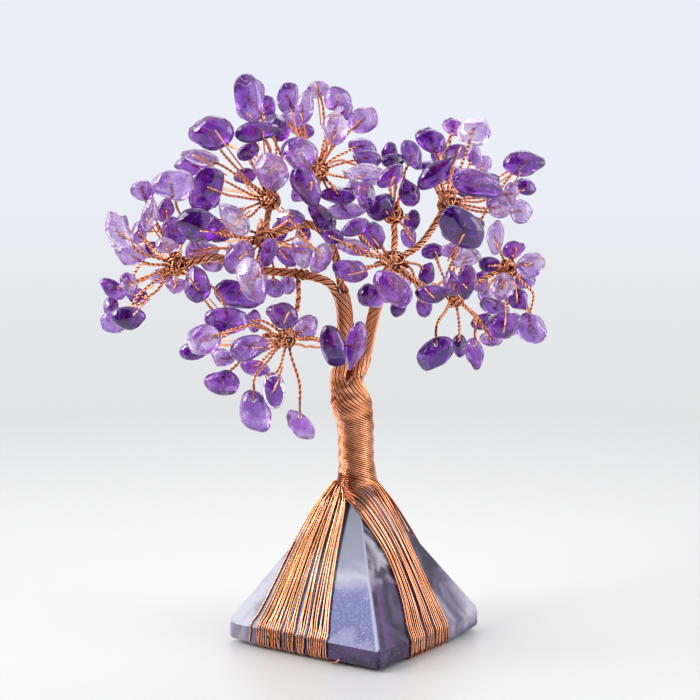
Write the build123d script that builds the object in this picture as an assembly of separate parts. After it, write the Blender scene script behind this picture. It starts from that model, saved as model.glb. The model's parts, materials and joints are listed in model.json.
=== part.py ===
from build123d import *

import collections
import math
import os
import random

import numpy

# Gemstone tree ornament, in millimetres. +X is to the right seen from the front, +Y leads away from the
# front and +Z is up. The origin lies under the middle of the pyramid, on the surface that it stands on.

# Wire, bare copper, and the pair of wires twisted together that makes a twig
wire_diameter = 0.5
twig_diameter = 1.0
wire_gap = 0.03

# Pyramid
pyramid_side = 50.0
pyramid_height = 45.1
pyramid_top_side = 5.0
pyramid_foot_height = 4.4
pyramid_edge_radius = 1.0
pyramid_turn = 10.0

# Trunk: a bundle of wires with one wire wound round it
trunk_radius = 5.0
trunk_height = 27.0
trunk_foot_height = 3.4
trunk_foot_radius = 4.2
trunk_shoulder_height = 3.2
trunk_top_radius = 4.3
trunk_lean = 6.0
trunk_shift = 0.6
winding_loops = 19
winding_pitch = 0.95
wire_tail = 0.5

# Skirts: the wires that run down the pyramid's faces and in under it
skirt_wires = 15
skirt_middle_wire = 8
skirt_pitch = 1.8
skirt_top_spread = 74.0
skirt_turn = 34.0
skirt_neck_drop = 3.6
skirt_collar_drop = 0.5
skirt_neck_half_width = 4.4
skirt_past_middle = 1.5
skirt_short_of_middle = 2.5

# Ropes of twisted wires
main_limb_radius = 2.2
right_limb_radius = 1.7
left_limb_radius = 1.2
upper_limb_radius = 1.15
branch_radius = 0.95
thin_branch_radius = 0.75
rope_gap = 0.05
fork_clearance = 0.3

# Crown
crown_depth = 36.0
chip_least_length = 6.4
chip_least_width = 4.6
chip_most_thickness = 6.2
chip_least_thickness = 3.0
chip_gap = 0.35
twig_gap = 0.12
bore_clearance = 0.06
settle_step = 0.75
route_step = 0.6

# Pendant chips, which swing on open eyes of wire
pendant_hole_radius = 0.35
pendant_eye_rise = 4.6
pendant_eye_slope = 1.3
pendant_side_clearance = 0.45
pendant_room = 1.2

# One value lets every cut run past the faces that it cuts
overrun = 1.0

# Where the tree is seen from: places in the crown are read off a picture 700 dots square
picture_middle_px = 350
focal_length_px = 1700
eye_distance = 455.2
eye_height = 130.0
eye_side = -1.4
eye_pitch = 6.4
trunk_top_px = (346.956, 386.679)

# Facets round a rope, a wire and a chip
rope_sides = 8
wire_sides = 6

chip_thickness_share = 0.62
chip_crown_share = 0.6
chip_reach_share = 1.12
chip_roll = 12.0
twig_end_share = 0.35

# How far a twig bows, as shares of its length, and where along it the bow lies
route_bow_shares = [0.04, 0.1, 0.17, 0.25, 0.34, 0.45, 0.6]
route_reach_shares = [0.5, 0.35, 0.65, 0.2, 0.8]
route_turns = 12
bend_plane_shares = (0.3, 1.0, 0.2)
settle_tries = 60

# Rings of a knot, as shares of its radius: height and width
knot_ring_shares = [(-0.9, 0.44), (-0.35, 0.94), (0.35, 0.94), (0.9, 0.44)]

# Six corners of a tumbled chip, as shares of its half length and half width
chip_outline_shares = [
    [(1.0, 0.1), (0.5, 0.92), (-0.5, 0.95), (-1.0, 0.05), (-0.55, -0.92), (0.55, -0.9)],
    [(1.0, -0.25), (0.7, 0.75), (-0.3, 1.0), (-0.98, 0.3), (-0.7, -0.8), (0.3, -0.95)],
    [(0.95, 0.35), (0.2, 0.98), (-0.72, 0.78), (-1.0, -0.3), (-0.3, -0.98), (0.78, -0.72)],
    [(1.0, 0.0), (0.62, 0.6), (-0.45, 0.98), (-0.95, 0.45), (-0.95, -0.5), (-0.3, -0.98)],
]

# Knots, where a spray's twigs are gathered: place in the picture, depth as a share of the crown's depth
knot_places_px = {
    "west": (177, 266),
    "centre": (265, 238),
    "high_centre": (270, 200),
    "top": (317, 172),
    "lower_left": (287, 338),
    "right": (393, 262),
    "high_right": (393, 215),
    "upper_right": (447, 203),
    "east": (455, 297),
    "far_east": (508, 268),
}
knot_depth_shares = {
    "west": -0.12,
    "centre": -0.1,
    "high_centre": 0.12,
    "top": 0.2,
    "lower_left": -0.3,
    "right": -0.1,
    "high_right": 0.15,
    "upper_right": 0.2,
    "east": -0.15,
    "far_east": 0.1,
}
knot_radii = {
    "west": 2.4,
    "centre": 2.4,
    "high_centre": 2.3,
    "top": 2.4,
    "lower_left": 2.2,
    "right": 2.5,
    "high_right": 2.0,
    "upper_right": 2.3,
    "east": 2.3,
    "far_east": 2.0,
}

# The spray that each knot belongs to
knot_sprays = {
    "west": "west",
    "centre": "centre",
    "high_centre": "centre",
    "top": "top",
    "lower_left": "lower_left",
    "right": "right",
    "high_right": "right",
    "upper_right": "upper_right",
    "east": "east",
    "far_east": "east",
}

# Ropes: places in the picture, each with its depth as a share of the crown's depth
main_limb_px = [(344, 365, 0.0), (345.5, 335, 0.0), (345, 308, 0.0), (341, 294, 0.0)]
right_limb_px = [(363, 367, 0.05), (368, 342, 0.06), (373, 316, 0.04), (382, 287, 0.0)]
left_limb_px = [
    (329, 282, -0.05),
    (312, 276, -0.06),
    (285, 272, -0.06),
    (258, 271, -0.08),
    (236, 264, -0.1),
    (215, 256, -0.12),
    (197, 260, -0.12),
]
upper_limb_px = [
    (341, 286, 0.04),
    (338, 268, 0.05),
    (334, 248, 0.05),
    (321, 228, 0.05),
    (302, 222, 0.02),
    (284, 230, -0.04),
]
centre_branch_px = [(266, 227, -0.06), (268, 216, 0.02)]
top_branch_px = [(317, 217, 0.12), (311, 203, 0.2), (312, 188, 0.22)]
drop_branch_px = [(298, 281, -0.12), (299, 300, -0.2), (294, 320, -0.27)]
high_right_branch_px = [(394, 249, -0.02), (395, 238, 0.05), (394, 226, 0.12)]
upper_right_branch_px = [(405, 255, -0.04), (420, 246, 0.04), (433, 228, 0.12), (441, 214, 0.17)]
east_branch_px = [(402, 271, -0.12), (417, 283, -0.16), (433, 291, -0.17)]
far_east_branch_px = [(465, 291, -0.12), (480, 281, -0.04), (494, 273, 0.04)]

# Chips: place in the picture, length, width, tilt in degrees, stone, and where it lies: -1 to the front,
# 1 to the back
chips_px = {
    "west": [
        (143, 189, 23, 22, 0, "mid", 0), (150, 214, 36, 17, 85, "pale", -0.4),
        (165, 210, 26, 17, 80, "mid", 0.3), (118, 231, 42, 24, -70, "pale", -0.5),
        (138, 232, 22, 17, 90, "pale", 0.4), (131, 254, 34, 26, -10, "pale", 0),
        (151, 249, 22, 16, 20, "deep", 0.9), (167, 245, 20, 17, 0, "pale", -0.3),
        (112, 289, 30, 18, -45, "mid", 0.3), (130, 284, 25, 18, -45, "mid", -0.3),
        (137, 296, 24, 18, 0, "deep", 0.5), (111, 307, 19, 17, 90, "deep", 0.7),
        (128, 318, 36, 26, 0, "deep", -1), (115, 322, 30, 22, 0, "pale", 0.3),
        (197, 284, 38, 29, 85, "mid", -0.6), (177, 286, 20, 17, 0, "mid", 0.8),
        (212, 264, 24, 17, 0, "mid", 0.9), (161, 276, 20, 16, 0, "pale", 0.8),
        (227, 321, 45, 29, -12, "deep", -0.9),
    ],
    "high_centre": [
        (211, 133, 46, 38, 10, "deep", -0.8), (200, 157, 40, 17, -5, "pale", -0.2),
        (195, 165, 42, 22, 0, "mid", 0.4), (173, 186, 44, 34, -10, "pale", -0.8),
        (206, 190, 48, 34, 55, "deep", -0.5), (249, 99, 50, 30, -75, "pale", -0.6),
        (268, 107, 24, 17, 90, "deep", 0.6), (258, 132, 47, 22, 0, "deep", -0.7),
        (277, 128, 30, 24, -35, "deep", 0.5), (248, 152, 22, 17, 20, "deep", -0.3),
        (272, 171, 38, 33, -40, "mid", -0.8), (234, 218, 42, 24, -35, "pale", -0.9),
        (291, 217, 30, 17, 0, "mid", -0.8), (245, 176, 22, 17, 30, "mid", 0.7),
    ],
    "centre": [
        (176, 231, 30, 26, -50, "deep", -0.5), (198, 225, 42, 36, 0, "deep", -0.6),
        (221, 231, 24, 24, 0, "deep", 0.2), (193, 251, 19, 17, 90, "mid", 0.2),
        (208, 250, 20, 17, 0, "pale", 0.4), (238, 257, 37, 27, 60, "pale", -0.6),
        (253, 281, 50, 30, -70, "pale", -1), (238, 294, 50, 28, -10, "deep", 0.1),
        (273, 287, 25, 20, -30, "pale", 0.3), (269, 252, 30, 19, 90, "deep", -0.8),
        (287, 257, 20, 17, -55, "deep", -0.2), (304, 252, 34, 23, -65, "pale", -0.7),
        (321, 258, 34, 21, 70, "mid", -0.9), (288, 283, 19, 17, 90, "pale", 0.7),
        (303, 236, 24, 16, 90, "deep", 0.5), (279, 231, 20, 17, 90, "deep", 0.8),
    ],
    "top": [
        (288, 98, 31, 23, 70, "pale", 0), (304, 108, 38, 19, 90, "pale", -0.6),
        (290, 122, 24, 20, 0, "pale", 0.2), (303, 131, 20, 18, 0, "mid", 0.8),
        (318, 89, 21, 19, 0, "pale", 0.1), (338, 100, 28, 27, 90, "pale", -0.2),
        (343, 112, 24, 17, 50, "deep", -0.7), (335, 129, 32, 28, 75, "mid", -0.8),
        (363, 120, 31, 27, 35, "mid", 0), (299, 153, 38, 34, -10, "mid", -0.9),
        (307, 187, 46, 28, -60, "mid", -1), (322, 217, 38, 20, -38, "deep", -0.8),
        (338, 196, 36, 20, -10, "deep", 0.1), (347, 211, 44, 18, 0, "pale", 0.2),
        (353, 188, 20, 17, 90, "deep", 0.8), (363, 147, 30, 22, -15, "pale", 0.6),
        (367, 158, 30, 18, 0, "pale", 0), (364, 174, 42, 24, -5, "pale", -0.8),
    ],
    "lower_left": [
        (283, 314, 34, 28, -15, "mid", -0.5), (307, 327, 26, 24, 0, "pale", 0.1),
        (333, 346, 44, 26, 95, "deep", -0.8), (355, 346, 52, 22, 80, "mid", -0.7),
        (253, 321, 20, 17, 90, "mid", 0.6), (204, 340, 35, 33, 0, "mid", -0.7),
        (194, 351, 30, 20, 0, "deep", 0.6), (250, 347, 42, 26, 30, "pale", -0.7),
        (223, 358, 24, 20, 0, "pale", 0.2), (255, 367, 32, 17, 0, "mid", 0.7),
        (222, 381, 37, 27, 5, "mid", 0.1), (275, 391, 38, 24, -80, "mid", -0.2),
    ],
    "high_right": [
        (389, 153, 20, 18, 90, "deep", 0.8), (393, 161, 22, 17, 0, "deep", 0),
        (391, 177, 32, 20, 30, "mid", -0.7), (366, 195, 28, 20, -70, "deep", -0.9),
        (380, 206, 30, 28, 0, "deep", -0.6), (410, 192, 30, 22, -65, "deep", -0.4),
        (412, 155, 33, 22, -65, "pale", 0.1), (411, 220, 22, 17, 90, "deep", 0.9),
        (409, 238, 20, 17, 90, "deep", 0.8),
    ],
    "right": [
        (424, 306, 21, 18, 90, "deep", 0.7), (431, 294, 33, 20, -15, "deep", -0.9),
        (427, 273, 20, 17, 90, "deep", 0.8), (393, 288, 46, 29, -28, "mid", -1),
        (371, 297, 28, 25, -20, "deep", -0.6), (398, 306, 20, 17, 90, "deep", 0.6),
        (350, 270, 38, 23, -12, "deep", -0.8), (373, 236, 30, 27, -50, "deep", -0.6),
        (354, 228, 32, 17, 12, "deep", -0.6), (332, 236, 20, 17, 0, "deep", -0.4),
        (354, 247, 34, 17, -5, "mid", 0.3),
    ],
    "upper_right": [
        (431, 140, 34, 26, -20, "mid", -0.2), (436, 173, 46, 23, 40, "deep", -0.9),
        (439, 152, 20, 17, 90, "pale", 0.7), (453, 127, 23, 18, -30, "mid", 0.1),
        (474, 131, 34, 30, 25, "pale", -0.6), (474, 154, 20, 17, 90, "pale", 0.6),
        (456, 152, 19, 17, 0, "pale", 0), (478, 185, 54, 29, -25, "deep", -0.9),
        (498, 207, 26, 24, -40, "mid", -0.6), (483, 166, 20, 17, 90, "pale", 0.8),
        (511, 194, 22, 17, 90, "pale", -0.4), (524, 164, 42, 28, -12, "mid", -0.4),
        (525, 186, 24, 17, 0, "deep", 0.3), (520, 211, 26, 24, 90, "pale", 0),
        (457, 173, 24, 17, 0, "mid", 0.7),
    ],
    "east": [
        (463, 227, 52, 36, -30, "deep", -0.8), (433, 251, 20, 17, 0, "mid", 0.2),
        (453, 250, 26, 17, 0, "pale", 0), (466, 258, 30, 19, 20, "pale", -0.3),
        (467, 282, 36, 20, 95, "deep", -0.9), (452, 283, 27, 20, 100, "pale", -0.7),
        (459, 346, 20, 17, 90, "deep", 0.5), (480, 281, 20, 17, 90, "mid", 0.9),
        (482, 322, 20, 17, 0, "deep", 0.5), (491, 338, 22, 18, 0, "mid", 0),
    ],
    "far_east": [
        (495, 237, 36, 18, 95, "pale", -0.4), (514, 250, 22, 20, 0, "mid", 0),
        (531, 265, 30, 26, 50, "pale", -0.6), (490, 264, 20, 17, 0, "deep", 0.6),
        (503, 287, 28, 23, 70, "pale", -0.6), (524, 281, 23, 18, 0, "pale", 0.3),
        (519, 300, 23, 22, 90, "deep", -0.2), (495, 307, 32, 17, -8, "pale", 0.1),
        (505, 325, 36, 29, 25, "deep", -0.8), (531, 329, 34, 31, -35, "pale", -0.3),
        (485, 293, 19, 17, 90, "pale", 0.8),
    ],
}

# Pendant chips: knot, the chip's place, length, width and tilt in the picture, and how high its hole is
pendants_px = {
    "low_pendant": ("lower_left", (300, 425, 38, 22, -62), 416.5),
    "left_pendant": ("lower_left", (254, 412, 46, 34, -80), 400),
    "inner_pendant": ("east", (436, 353, 42, 30, 25), 344.5),
    "outer_pendant": ("east", (475, 354, 33, 20, 95), 345),
}
pendant_depth_shares = {
    "low_pendant": -0.3,
    "left_pendant": -0.35,
    "inner_pendant": -0.45,
    "outer_pendant": -0.4,
}

# Chips on the crown's far side: how many each knot carries
rear_chip_counts = {
    "west": 3,
    "centre": 4,
    "high_centre": 3,
    "top": 3,
    "lower_left": 2,
    "right": 3,
    "high_right": 1,
    "upper_right": 3,
    "east": 3,
    "far_east": 2,
}
rear_size_share = 0.85
rear_roll = 40.0
rear_depth_shares = (0.5, 0.95)
chip_lie_depth_share = 0.4

# Where the top branch leaves the upper limb and the drop branch leaves the left limb
top_branch_root_px = (321, 228, 0.05)
drop_branch_root_px = (299, 274, -0.06)

dice = random.Random(7)


def in_sight(x_px, y_px, depth):
    """The point that shows at a place of the picture and lies so deep behind the trunk's foot."""
    pitch = math.radians(eye_pitch)
    distance = eye_distance + depth
    height = distance * math.tan(math.atan((picture_middle_px - y_px) / focal_length_px) - pitch)
    ahead = distance * math.cos(pitch) - height * math.sin(pitch)
    side = (x_px - picture_middle_px) * ahead / focal_length_px
    return Vector(side + eye_side, depth, height + eye_height)


def seen_at(x_px, y_px, depth):
    """The same point, moved with the trunk's top, which carries the crown."""
    return in_sight(x_px, y_px, depth) + crown_shift


def dot_size(depth):
    """How large a dot of the picture is at that depth."""
    return (eye_distance + depth) / focal_length_px


def faceted(rings):
    """A solid with flat faces between rings of points that match one to one."""
    faces = [Face(Wire.make_polygon(rings[0])), Face(Wire.make_polygon(rings[-1]))]
    for low, high in zip(rings, rings[1:]):
        for index in range(len(low)):
            after = (index + 1) % len(low)
            faces.append(Face(Wire.make_polygon([low[index], low[after], high[after], high[index]])))
    solid = Solid(Shell(faces))
    return solid if solid.volume > 0 else Solid(Shell([-face for face in faces]))


def tube(points, radius, sides, first=Vector(0, 0, 1)):
    """A bar of constant section along straight runs, mitred where they meet."""
    ways = [(after - before).normalized() for before, after in zip(points, points[1:])]
    across = (first - ways[0] * first.dot(ways[0])).normalized()
    beside = ways[0].cross(across)
    corners = []
    for index in range(sides):
        turn = 2 * math.pi * index / sides
        corners.append(points[0] + (across * math.cos(turn) + beside * math.sin(turn)) * radius)
    rings = [corners]
    for index in range(1, len(points)):
        way = ways[index - 1]
        mitre = way + ways[index] if index < len(ways) else way
        here = points[index]
        rings.append([c + way * ((here - c).dot(mitre) / way.dot(mitre)) for c in rings[-1]])
    return faceted(rings)


def save(name, solids):
    """Writes a node's solids to its own file."""
    export_step(Compound(children=solids) if len(solids) > 1 else solids[0], f"parts/{name}.step")


def pyramid_base():
    """The stone: an upright foot band, four sloping faces and a small flat top inside the trunk."""
    foot = Box(pyramid_side, pyramid_side, pyramid_foot_height)
    foot = Pos(0, 0, stone_lift + pyramid_foot_height / 2) * foot
    lower = Plane.XY.offset(foot_top) * Rectangle(pyramid_side, pyramid_side)
    upper = Plane.XY.offset(stone_top) * Rectangle(pyramid_top_side, pyramid_top_side)
    stone = foot + loft([lower.face(), upper.face()], ruled=True)
    long_edges = stone.edges().filter_by(lambda edge: edge.length > pyramid_foot_height / 2)
    soft_edges = long_edges.filter_by(lambda edge: edge.center().Z < stone_top - pyramid_edge_radius)
    stone = fillet(soft_edges, pyramid_edge_radius)
    return Rot(0, 0, stone_turn) * stone.solid()


def trunk_core():
    """The bundle inside the trunk: a tapered foot, the wound stretch and a shoulder for the limbs."""
    inner = trunk_radius - wire_diameter - wire_gap
    wound = winding_loops * winding_pitch + 2 * wire_diameter
    shoulder = trunk_foot_height + wound
    outline = [
        (0, -overrun),
        (trunk_foot_radius, -overrun),
        (trunk_foot_radius, 0),
        (trunk_radius, trunk_foot_height),
        (inner, trunk_foot_height),
        (inner, shoulder),
        (trunk_radius, shoulder),
        (trunk_radius, trunk_height - trunk_shoulder_height),
        (trunk_top_radius, trunk_height),
        (0, trunk_height),
    ]
    profile = Plane.XZ * make_face(Polyline(*outline, close=True))
    bundle = trunk_frame.location * revolve(profile, Axis.Z).solid()
    # The foot is cut level where it stands on the stone's flat top
    return split(bundle, bisect_by=Plane.XY.offset(stone_top + wire_gap), keep=Keep.TOP).solid()


def quarter_pairs(points, ways):
    """Edges that run smoothly from point to point, two arcs for each stretch."""
    edges = []
    for here, there, start, end in zip(points, points[1:], ways, ways[1:]):
        chord = there - here
        both = start + end
        # The two arcs meet halfway between the ends of equally long tangents
        a = both.dot(both) - 4
        b = -2 * chord.dot(both)
        c = chord.dot(chord)
        reach = (-b - math.sqrt(b * b - 4 * a * c)) / (2 * a)
        first, last = here + start * reach, there - end * reach
        middle = (first + last) * 0.5
        edges.append(TangentArc(here, middle, tangent=start))
        edges.append(TangentArc(middle, there, tangent=(last - first).normalized()))
    return edges


def trunk_winding():
    """One unbroken wire wound round the bundle, falling to the right across the front."""
    radius = trunk_radius - wire_diameter / 2
    rise = winding_pitch / 2
    slope = math.atan2(rise, math.pi * radius)
    start_height = trunk_foot_height + wire_diameter + winding_pitch / 4
    points, ways = [], []
    for half_turn in range(2 * winding_loops - 1):
        side = 1 if half_turn % 2 == 0 else -1
        points.append(Vector(side * radius, 0, start_height + rise * half_turn))
        ways.append(Vector(0, -side * math.cos(slope), math.sin(slope)))
    path = quarter_pairs(points, ways)
    tails = [
        Line(points[0] - ways[0] * wire_tail, points[0]),
        Line(points[-1], points[-1] + ways[-1] * wire_tail),
    ]
    section = Plane(origin=points[0] - ways[0] * wire_tail, z_dir=ways[0]) * Circle(wire_diameter / 2)
    gap = winding_pitch * math.cos(slope) - wire_diameter
    print("winding: loops", winding_loops, "least gap", round(gap, 3))
    return trunk_frame.location * sweep(section, path=Wire([tails[0]] + path + [tails[1]])).solid()


def skirt(face_turn, layer, end_out):
    """One face's wires: from the trunk's foot over the face and the foot band, and in under the stone."""
    out = Vector(math.cos(face_turn), math.sin(face_turn), 0)
    beside = Vector(-math.sin(face_turn), math.cos(face_turn), 0)
    radius = wire_diameter / 2
    slope = math.atan2(pyramid_height - pyramid_foot_height, pyramid_side / 2)
    off = radius + wire_gap
    edge = pyramid_side / 2 + off
    bend_height = foot_top + off * (1 - math.cos(slope)) / math.sin(slope) - wire_gap
    lie_height = radius + layer * (wire_diameter + wire_gap)
    neck_height = stone_top - skirt_neck_drop
    point_height = foot_top + pyramid_height - pyramid_foot_height
    neck_out = (point_height - neck_height) / math.tan(slope) + off / math.sin(slope)
    collar_height = stone_top + trunk_foot_height - skirt_collar_drop
    collar = trunk_frame.origin + trunk_frame.z_dir * (collar_height - stone_top)
    wires = []
    for index in range(skirt_wires):
        share = 2 * index / (skirt_wires - 1) - 1
        side = (index - skirt_middle_wire) * skirt_pitch
        turn = face_turn - math.radians(skirt_turn - share * skirt_top_spread / 2)
        start = collar + Vector(math.cos(turn), math.sin(turn), 0) * (trunk_radius + off)
        points = [
            out * end_out + beside * side + Vector(0, 0, lie_height),
            out * edge + beside * side + Vector(0, 0, lie_height),
            out * edge + beside * side + Vector(0, 0, bend_height),
            out * neck_out + beside * (share * skirt_neck_half_width) + Vector(0, 0, neck_height),
            start,
        ]
        wires.append(tube(points, radius / math.cos(math.pi / wire_sides), wire_sides, beside))
    return wires


def knot(middle, radius):
    """A ball of gathered wire ends."""
    rings = []
    for height_share, width_share in knot_ring_shares:
        ring = []
        for index in range(rope_sides):
            turn = 2 * math.pi * index / rope_sides
            way = Vector(math.cos(turn) * width_share, math.sin(turn) * width_share, height_share)
            ring.append(middle + way * radius)
        rings.append(ring)
    return faceted(rings)


def picture_points(rows):
    """The points of a rope's places in the picture."""
    return [seen_at(x_px, y_px, share * crown_depth) for x_px, y_px, share in rows]


def from_ball_to_ball(start, start_radius, rows, end, end_radius):
    """A rope's points, from the surface of what it leaves to the surface of what it meets."""
    between = picture_points(rows)
    first = start + (between[0] - start).normalized() * (start_radius + rope_gap)
    last = end + (between[-1] - end).normalized() * (end_radius + rope_gap)
    return [first] + between + [last]


def from_seat(end, way, side, rows, knot_name=None):
    """A rope's points, from a flat seat that it stands on square, to a knot or to where it forks."""
    seat = end + side + way * rope_gap
    points = [seat, seat + way * (2 * thin_branch_radius)] + picture_points(rows)
    if knot_name:
        middle, radius = knots[knot_name]
        points.append(middle + (points[-1] - middle).normalized() * (radius + rope_gap))
    return points


def all_ropes():
    """Every limb and branch: its points and its radius."""
    up = trunk_frame.z_dir
    top = trunk_frame.origin + up * trunk_height
    right = Vector(1, 0, 0)
    right = (right - up * right.dot(up)).normalized()
    ropes = {}
    seat = trunk_top_radius - main_limb_radius
    ropes["main_limb"] = (from_seat(top, up, right * -seat, main_limb_px), main_limb_radius)
    seat = trunk_top_radius - right_limb_radius
    ropes["right_limb"] = (from_seat(top, up, right * seat, right_limb_px, "right"), right_limb_radius)
    fork = ropes["main_limb"][0]
    way = (fork[-1] - fork[-2]).normalized()
    right = (right - way * right.dot(way)).normalized()
    left_seat = right * -(left_limb_radius + rope_gap)
    ropes["left_limb"] = (from_seat(fork[-1], way, left_seat, left_limb_px, "west"), left_limb_radius)
    right_seat = right * (upper_limb_radius + rope_gap)
    ropes["upper_limb"] = (from_seat(fork[-1], way, right_seat, upper_limb_px, "centre"), upper_limb_radius)
    for name, (start, rows, end, radius) in {
        "centre_branch": ("centre", centre_branch_px, "high_centre", branch_radius),
        "high_right_branch": ("right", high_right_branch_px, "high_right", branch_radius),
        "upper_right_branch": ("right", upper_right_branch_px, "upper_right", branch_radius),
        "east_branch": ("right", east_branch_px, "east", branch_radius),
        "far_east_branch": ("east", far_east_branch_px, "far_east", thin_branch_radius),
    }.items():
        ropes[name] = (from_ball_to_ball(*knots[start], rows, *knots[end]), radius)
    parent = seen_at(*top_branch_root_px[:2], top_branch_root_px[2] * crown_depth)
    seat = upper_limb_radius + fork_clearance
    points = from_ball_to_ball(parent, seat, top_branch_px, *knots["top"])
    ropes["top_branch"] = (points, branch_radius)
    parent = seen_at(*drop_branch_root_px[:2], drop_branch_root_px[2] * crown_depth)
    seat = left_limb_radius + fork_clearance
    points = from_ball_to_ball(parent, seat, drop_branch_px, *knots["lower_left"])
    ropes["drop_branch"] = (points, thin_branch_radius)
    return ropes


class Chip:
    """A tumbled chip: where its middle is, its axes and its half length, half width and half thickness."""

    def __init__(self, row, depth, roll, outline):
        x_px, y_px, long_px, wide_px, tilt = row[:5]
        dot = dot_size(depth)
        length = max(long_px * dot, chip_least_length)
        width = max(wide_px * dot, chip_least_width)
        thickness = min(max(width * chip_thickness_share, chip_least_thickness), chip_most_thickness)
        self.middle = seen_at(x_px, y_px, depth)
        lean = math.radians(tilt)
        along = Vector(math.cos(lean), 0, math.sin(lean))
        self.axes = [along, Vector(0, 1, 0).cross(along).rotate(Axis((0, 0, 0), along), roll), None]
        self.axes[2] = along.cross(self.axes[1])
        self.halves = (length / 2, width / 2, thickness / 2)
        self.outline = outline

    def point(self, shares):
        """The point at shares of the half sizes."""
        steps = (axis * (half * share) for axis, half, share in zip(self.axes, self.halves, shares))
        return sum(steps, self.middle)

    def rings(self):
        """The chip's corners: a small ring on each flat side and a wide one between them."""
        outline = chip_outline_shares[self.outline]
        crown = chip_crown_share
        return [
            [self.point((x * size, y * size, height)) for x, y in outline]
            for height, size in ((-1, crown), (0, 1), (1, crown))
        ]

    def samples(self):
        """Points all over the chip, as rows of numbers."""
        rings = self.rings()
        points = [self.middle] + rings[0] + rings[1] + rings[2]
        for ring in rings:
            points += [(one + other) * 0.5 for one, other in zip(ring, ring[1:] + ring[:1])]
        return numpy.array([tuple(point) for point in points])


class Neighbours:
    """Chips, twigs and ropes that have their place, against which the next ones are tested."""

    def __init__(self):
        self.chips = []
        self.middles = numpy.zeros((0, 3))
        self.frames = numpy.zeros((0, 3, 3))
        self.halves = numpy.zeros((0, 3))
        self.chip_dots = numpy.zeros((0, 3))
        self.dots = numpy.zeros((0, 3))
        self.radii = numpy.zeros(0)
        self.owners = []

    def add_chip(self, chip, extra=0.0):
        self.chips.append(chip)
        self.middles = numpy.vstack([self.middles, [tuple(chip.middle)]])
        self.frames = numpy.concatenate([self.frames, [[tuple(axis) for axis in chip.axes]]])
        self.halves = numpy.vstack([self.halves, [[half * chip_reach_share + extra for half in chip.halves]]])
        self.chip_dots = numpy.vstack([self.chip_dots, chip.samples()])

    def add_bar(self, points, radius, owner=None):
        dots = run_samples(points)
        self.dots = numpy.vstack([self.dots, dots])
        self.radii = numpy.concatenate([self.radii, numpy.full(len(dots), radius)])
        self.owners += [owner] * len(dots)

    def bars_near(self, middle, reach, owner):
        """The bars' sample points within reach of a point, apart from an owner's own, and their radii."""
        near = numpy.linalg.norm(self.dots - middle, axis=1) < reach
        near &= numpy.array([name != owner for name in self.owners])
        return self.dots[near], self.radii[near]

    def chips_near(self, middle, reach, skip=None):
        """Middles, axes and half sizes of the chips within reach of a point."""
        near = numpy.linalg.norm(self.middles - middle, axis=1) < reach + self.halves.max(axis=1)
        if skip is not None:
            near[skip] = False
        return self.middles[near], self.frames[near], self.halves[near]

    def chip_is_clear(self, chip):
        """Whether a chip stands clear of every chip, rope and knot that has its place."""
        points = chip.samples()
        reach = 2 * chip.halves[0]
        if self.chips:
            if room_to_chips(points, self.chips_near(points[0], reach), chip_gap) < 0:
                return False
        alone = Neighbours()
        alone.add_chip(chip)
        itself = alone.chips_near(points[0], reach)
        if room_to_chips(close_to(self.chip_dots, points[0], reach), itself, chip_gap) < 0:
            return False
        near = numpy.linalg.norm(self.dots - points[0], axis=1) < reach + self.radii
        for radius in numpy.unique(self.radii[near]):
            dots = self.dots[near & (self.radii == radius)]
            if room_to_chips(dots, itself, radius + chip_gap) < 0:
                return False
        return True


def close_to(points, middle, reach):
    """Those of the points that lie within reach of a point."""
    return points[numpy.linalg.norm(points - middle, axis=1) < reach]


def room_to_chips(points, chips, margin):
    """How far the points stay outside the chips, as a share of the chips' half sizes: above 0 is clear."""
    middles, frames, halves = chips
    if len(middles) == 0 or len(points) == 0:
        return math.inf
    local = numpy.einsum("cij,pcj->pci", frames, points[:, None, :] - middles[None])
    return (numpy.linalg.norm(local / (halves + margin)[None], axis=2)).min() - 1


def run_samples(points):
    """Points along straight runs, as rows of numbers."""
    corners = numpy.array([tuple(point) for point in points])
    rows = []
    for before, after in zip(corners, corners[1:]):
        steps = max(2, math.ceil(numpy.linalg.norm(after - before) / route_step))
        rows.append(numpy.linspace(before, after, steps + 1))
    return numpy.vstack(rows)


def settled(row, depth, lie, roll, outline, neighbours):
    """The chip of a row at the depth nearest to the wanted one where it touches nothing."""
    toward = -1 if lie < 0 else 1
    for step in range(settle_tries):
        for side in (toward, -toward):
            chip = Chip(row, depth + side * step * settle_step, roll, outline)
            if neighbours.chip_is_clear(chip):
                neighbours.add_chip(chip)
                return chip
    raise ValueError(f"no room for the chip at {row[:2]}")


def route_to(middle, radius, top):
    """A pendant's twig, from its knot to the top of its eye, coming down from above."""
    above = top + Vector(0, 0, 2 * twig_diameter)
    foot = middle + (above - middle).normalized() * (radius + rope_gap)
    return [foot, above, top]


def room_to_bars(points, bars, margin):
    """The least distance from the points to the bars' faces, less a margin."""
    dots, radii = bars
    if len(dots) == 0:
        return math.inf
    apart = numpy.linalg.norm(points[:, None, :] - dots[None], axis=2)
    return (apart - radii[None]).min() - margin


def unit(vector):
    """A row of numbers scaled to a length of one."""
    return vector / numpy.linalg.norm(vector)


def bends(start, span):
    """Places for a twig's bend, the straightest first."""
    side = unit(numpy.cross(span, bend_plane_shares))
    other = unit(numpy.cross(side, span))
    length = numpy.linalg.norm(span)
    for bow in route_bow_shares:
        for reach in route_reach_shares:
            for index in range(route_turns):
                turn = 2 * math.pi * index / route_turns
                way = side * math.cos(turn) + other * math.sin(turn)
                yield start + span * reach + way * (bow * length)


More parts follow.
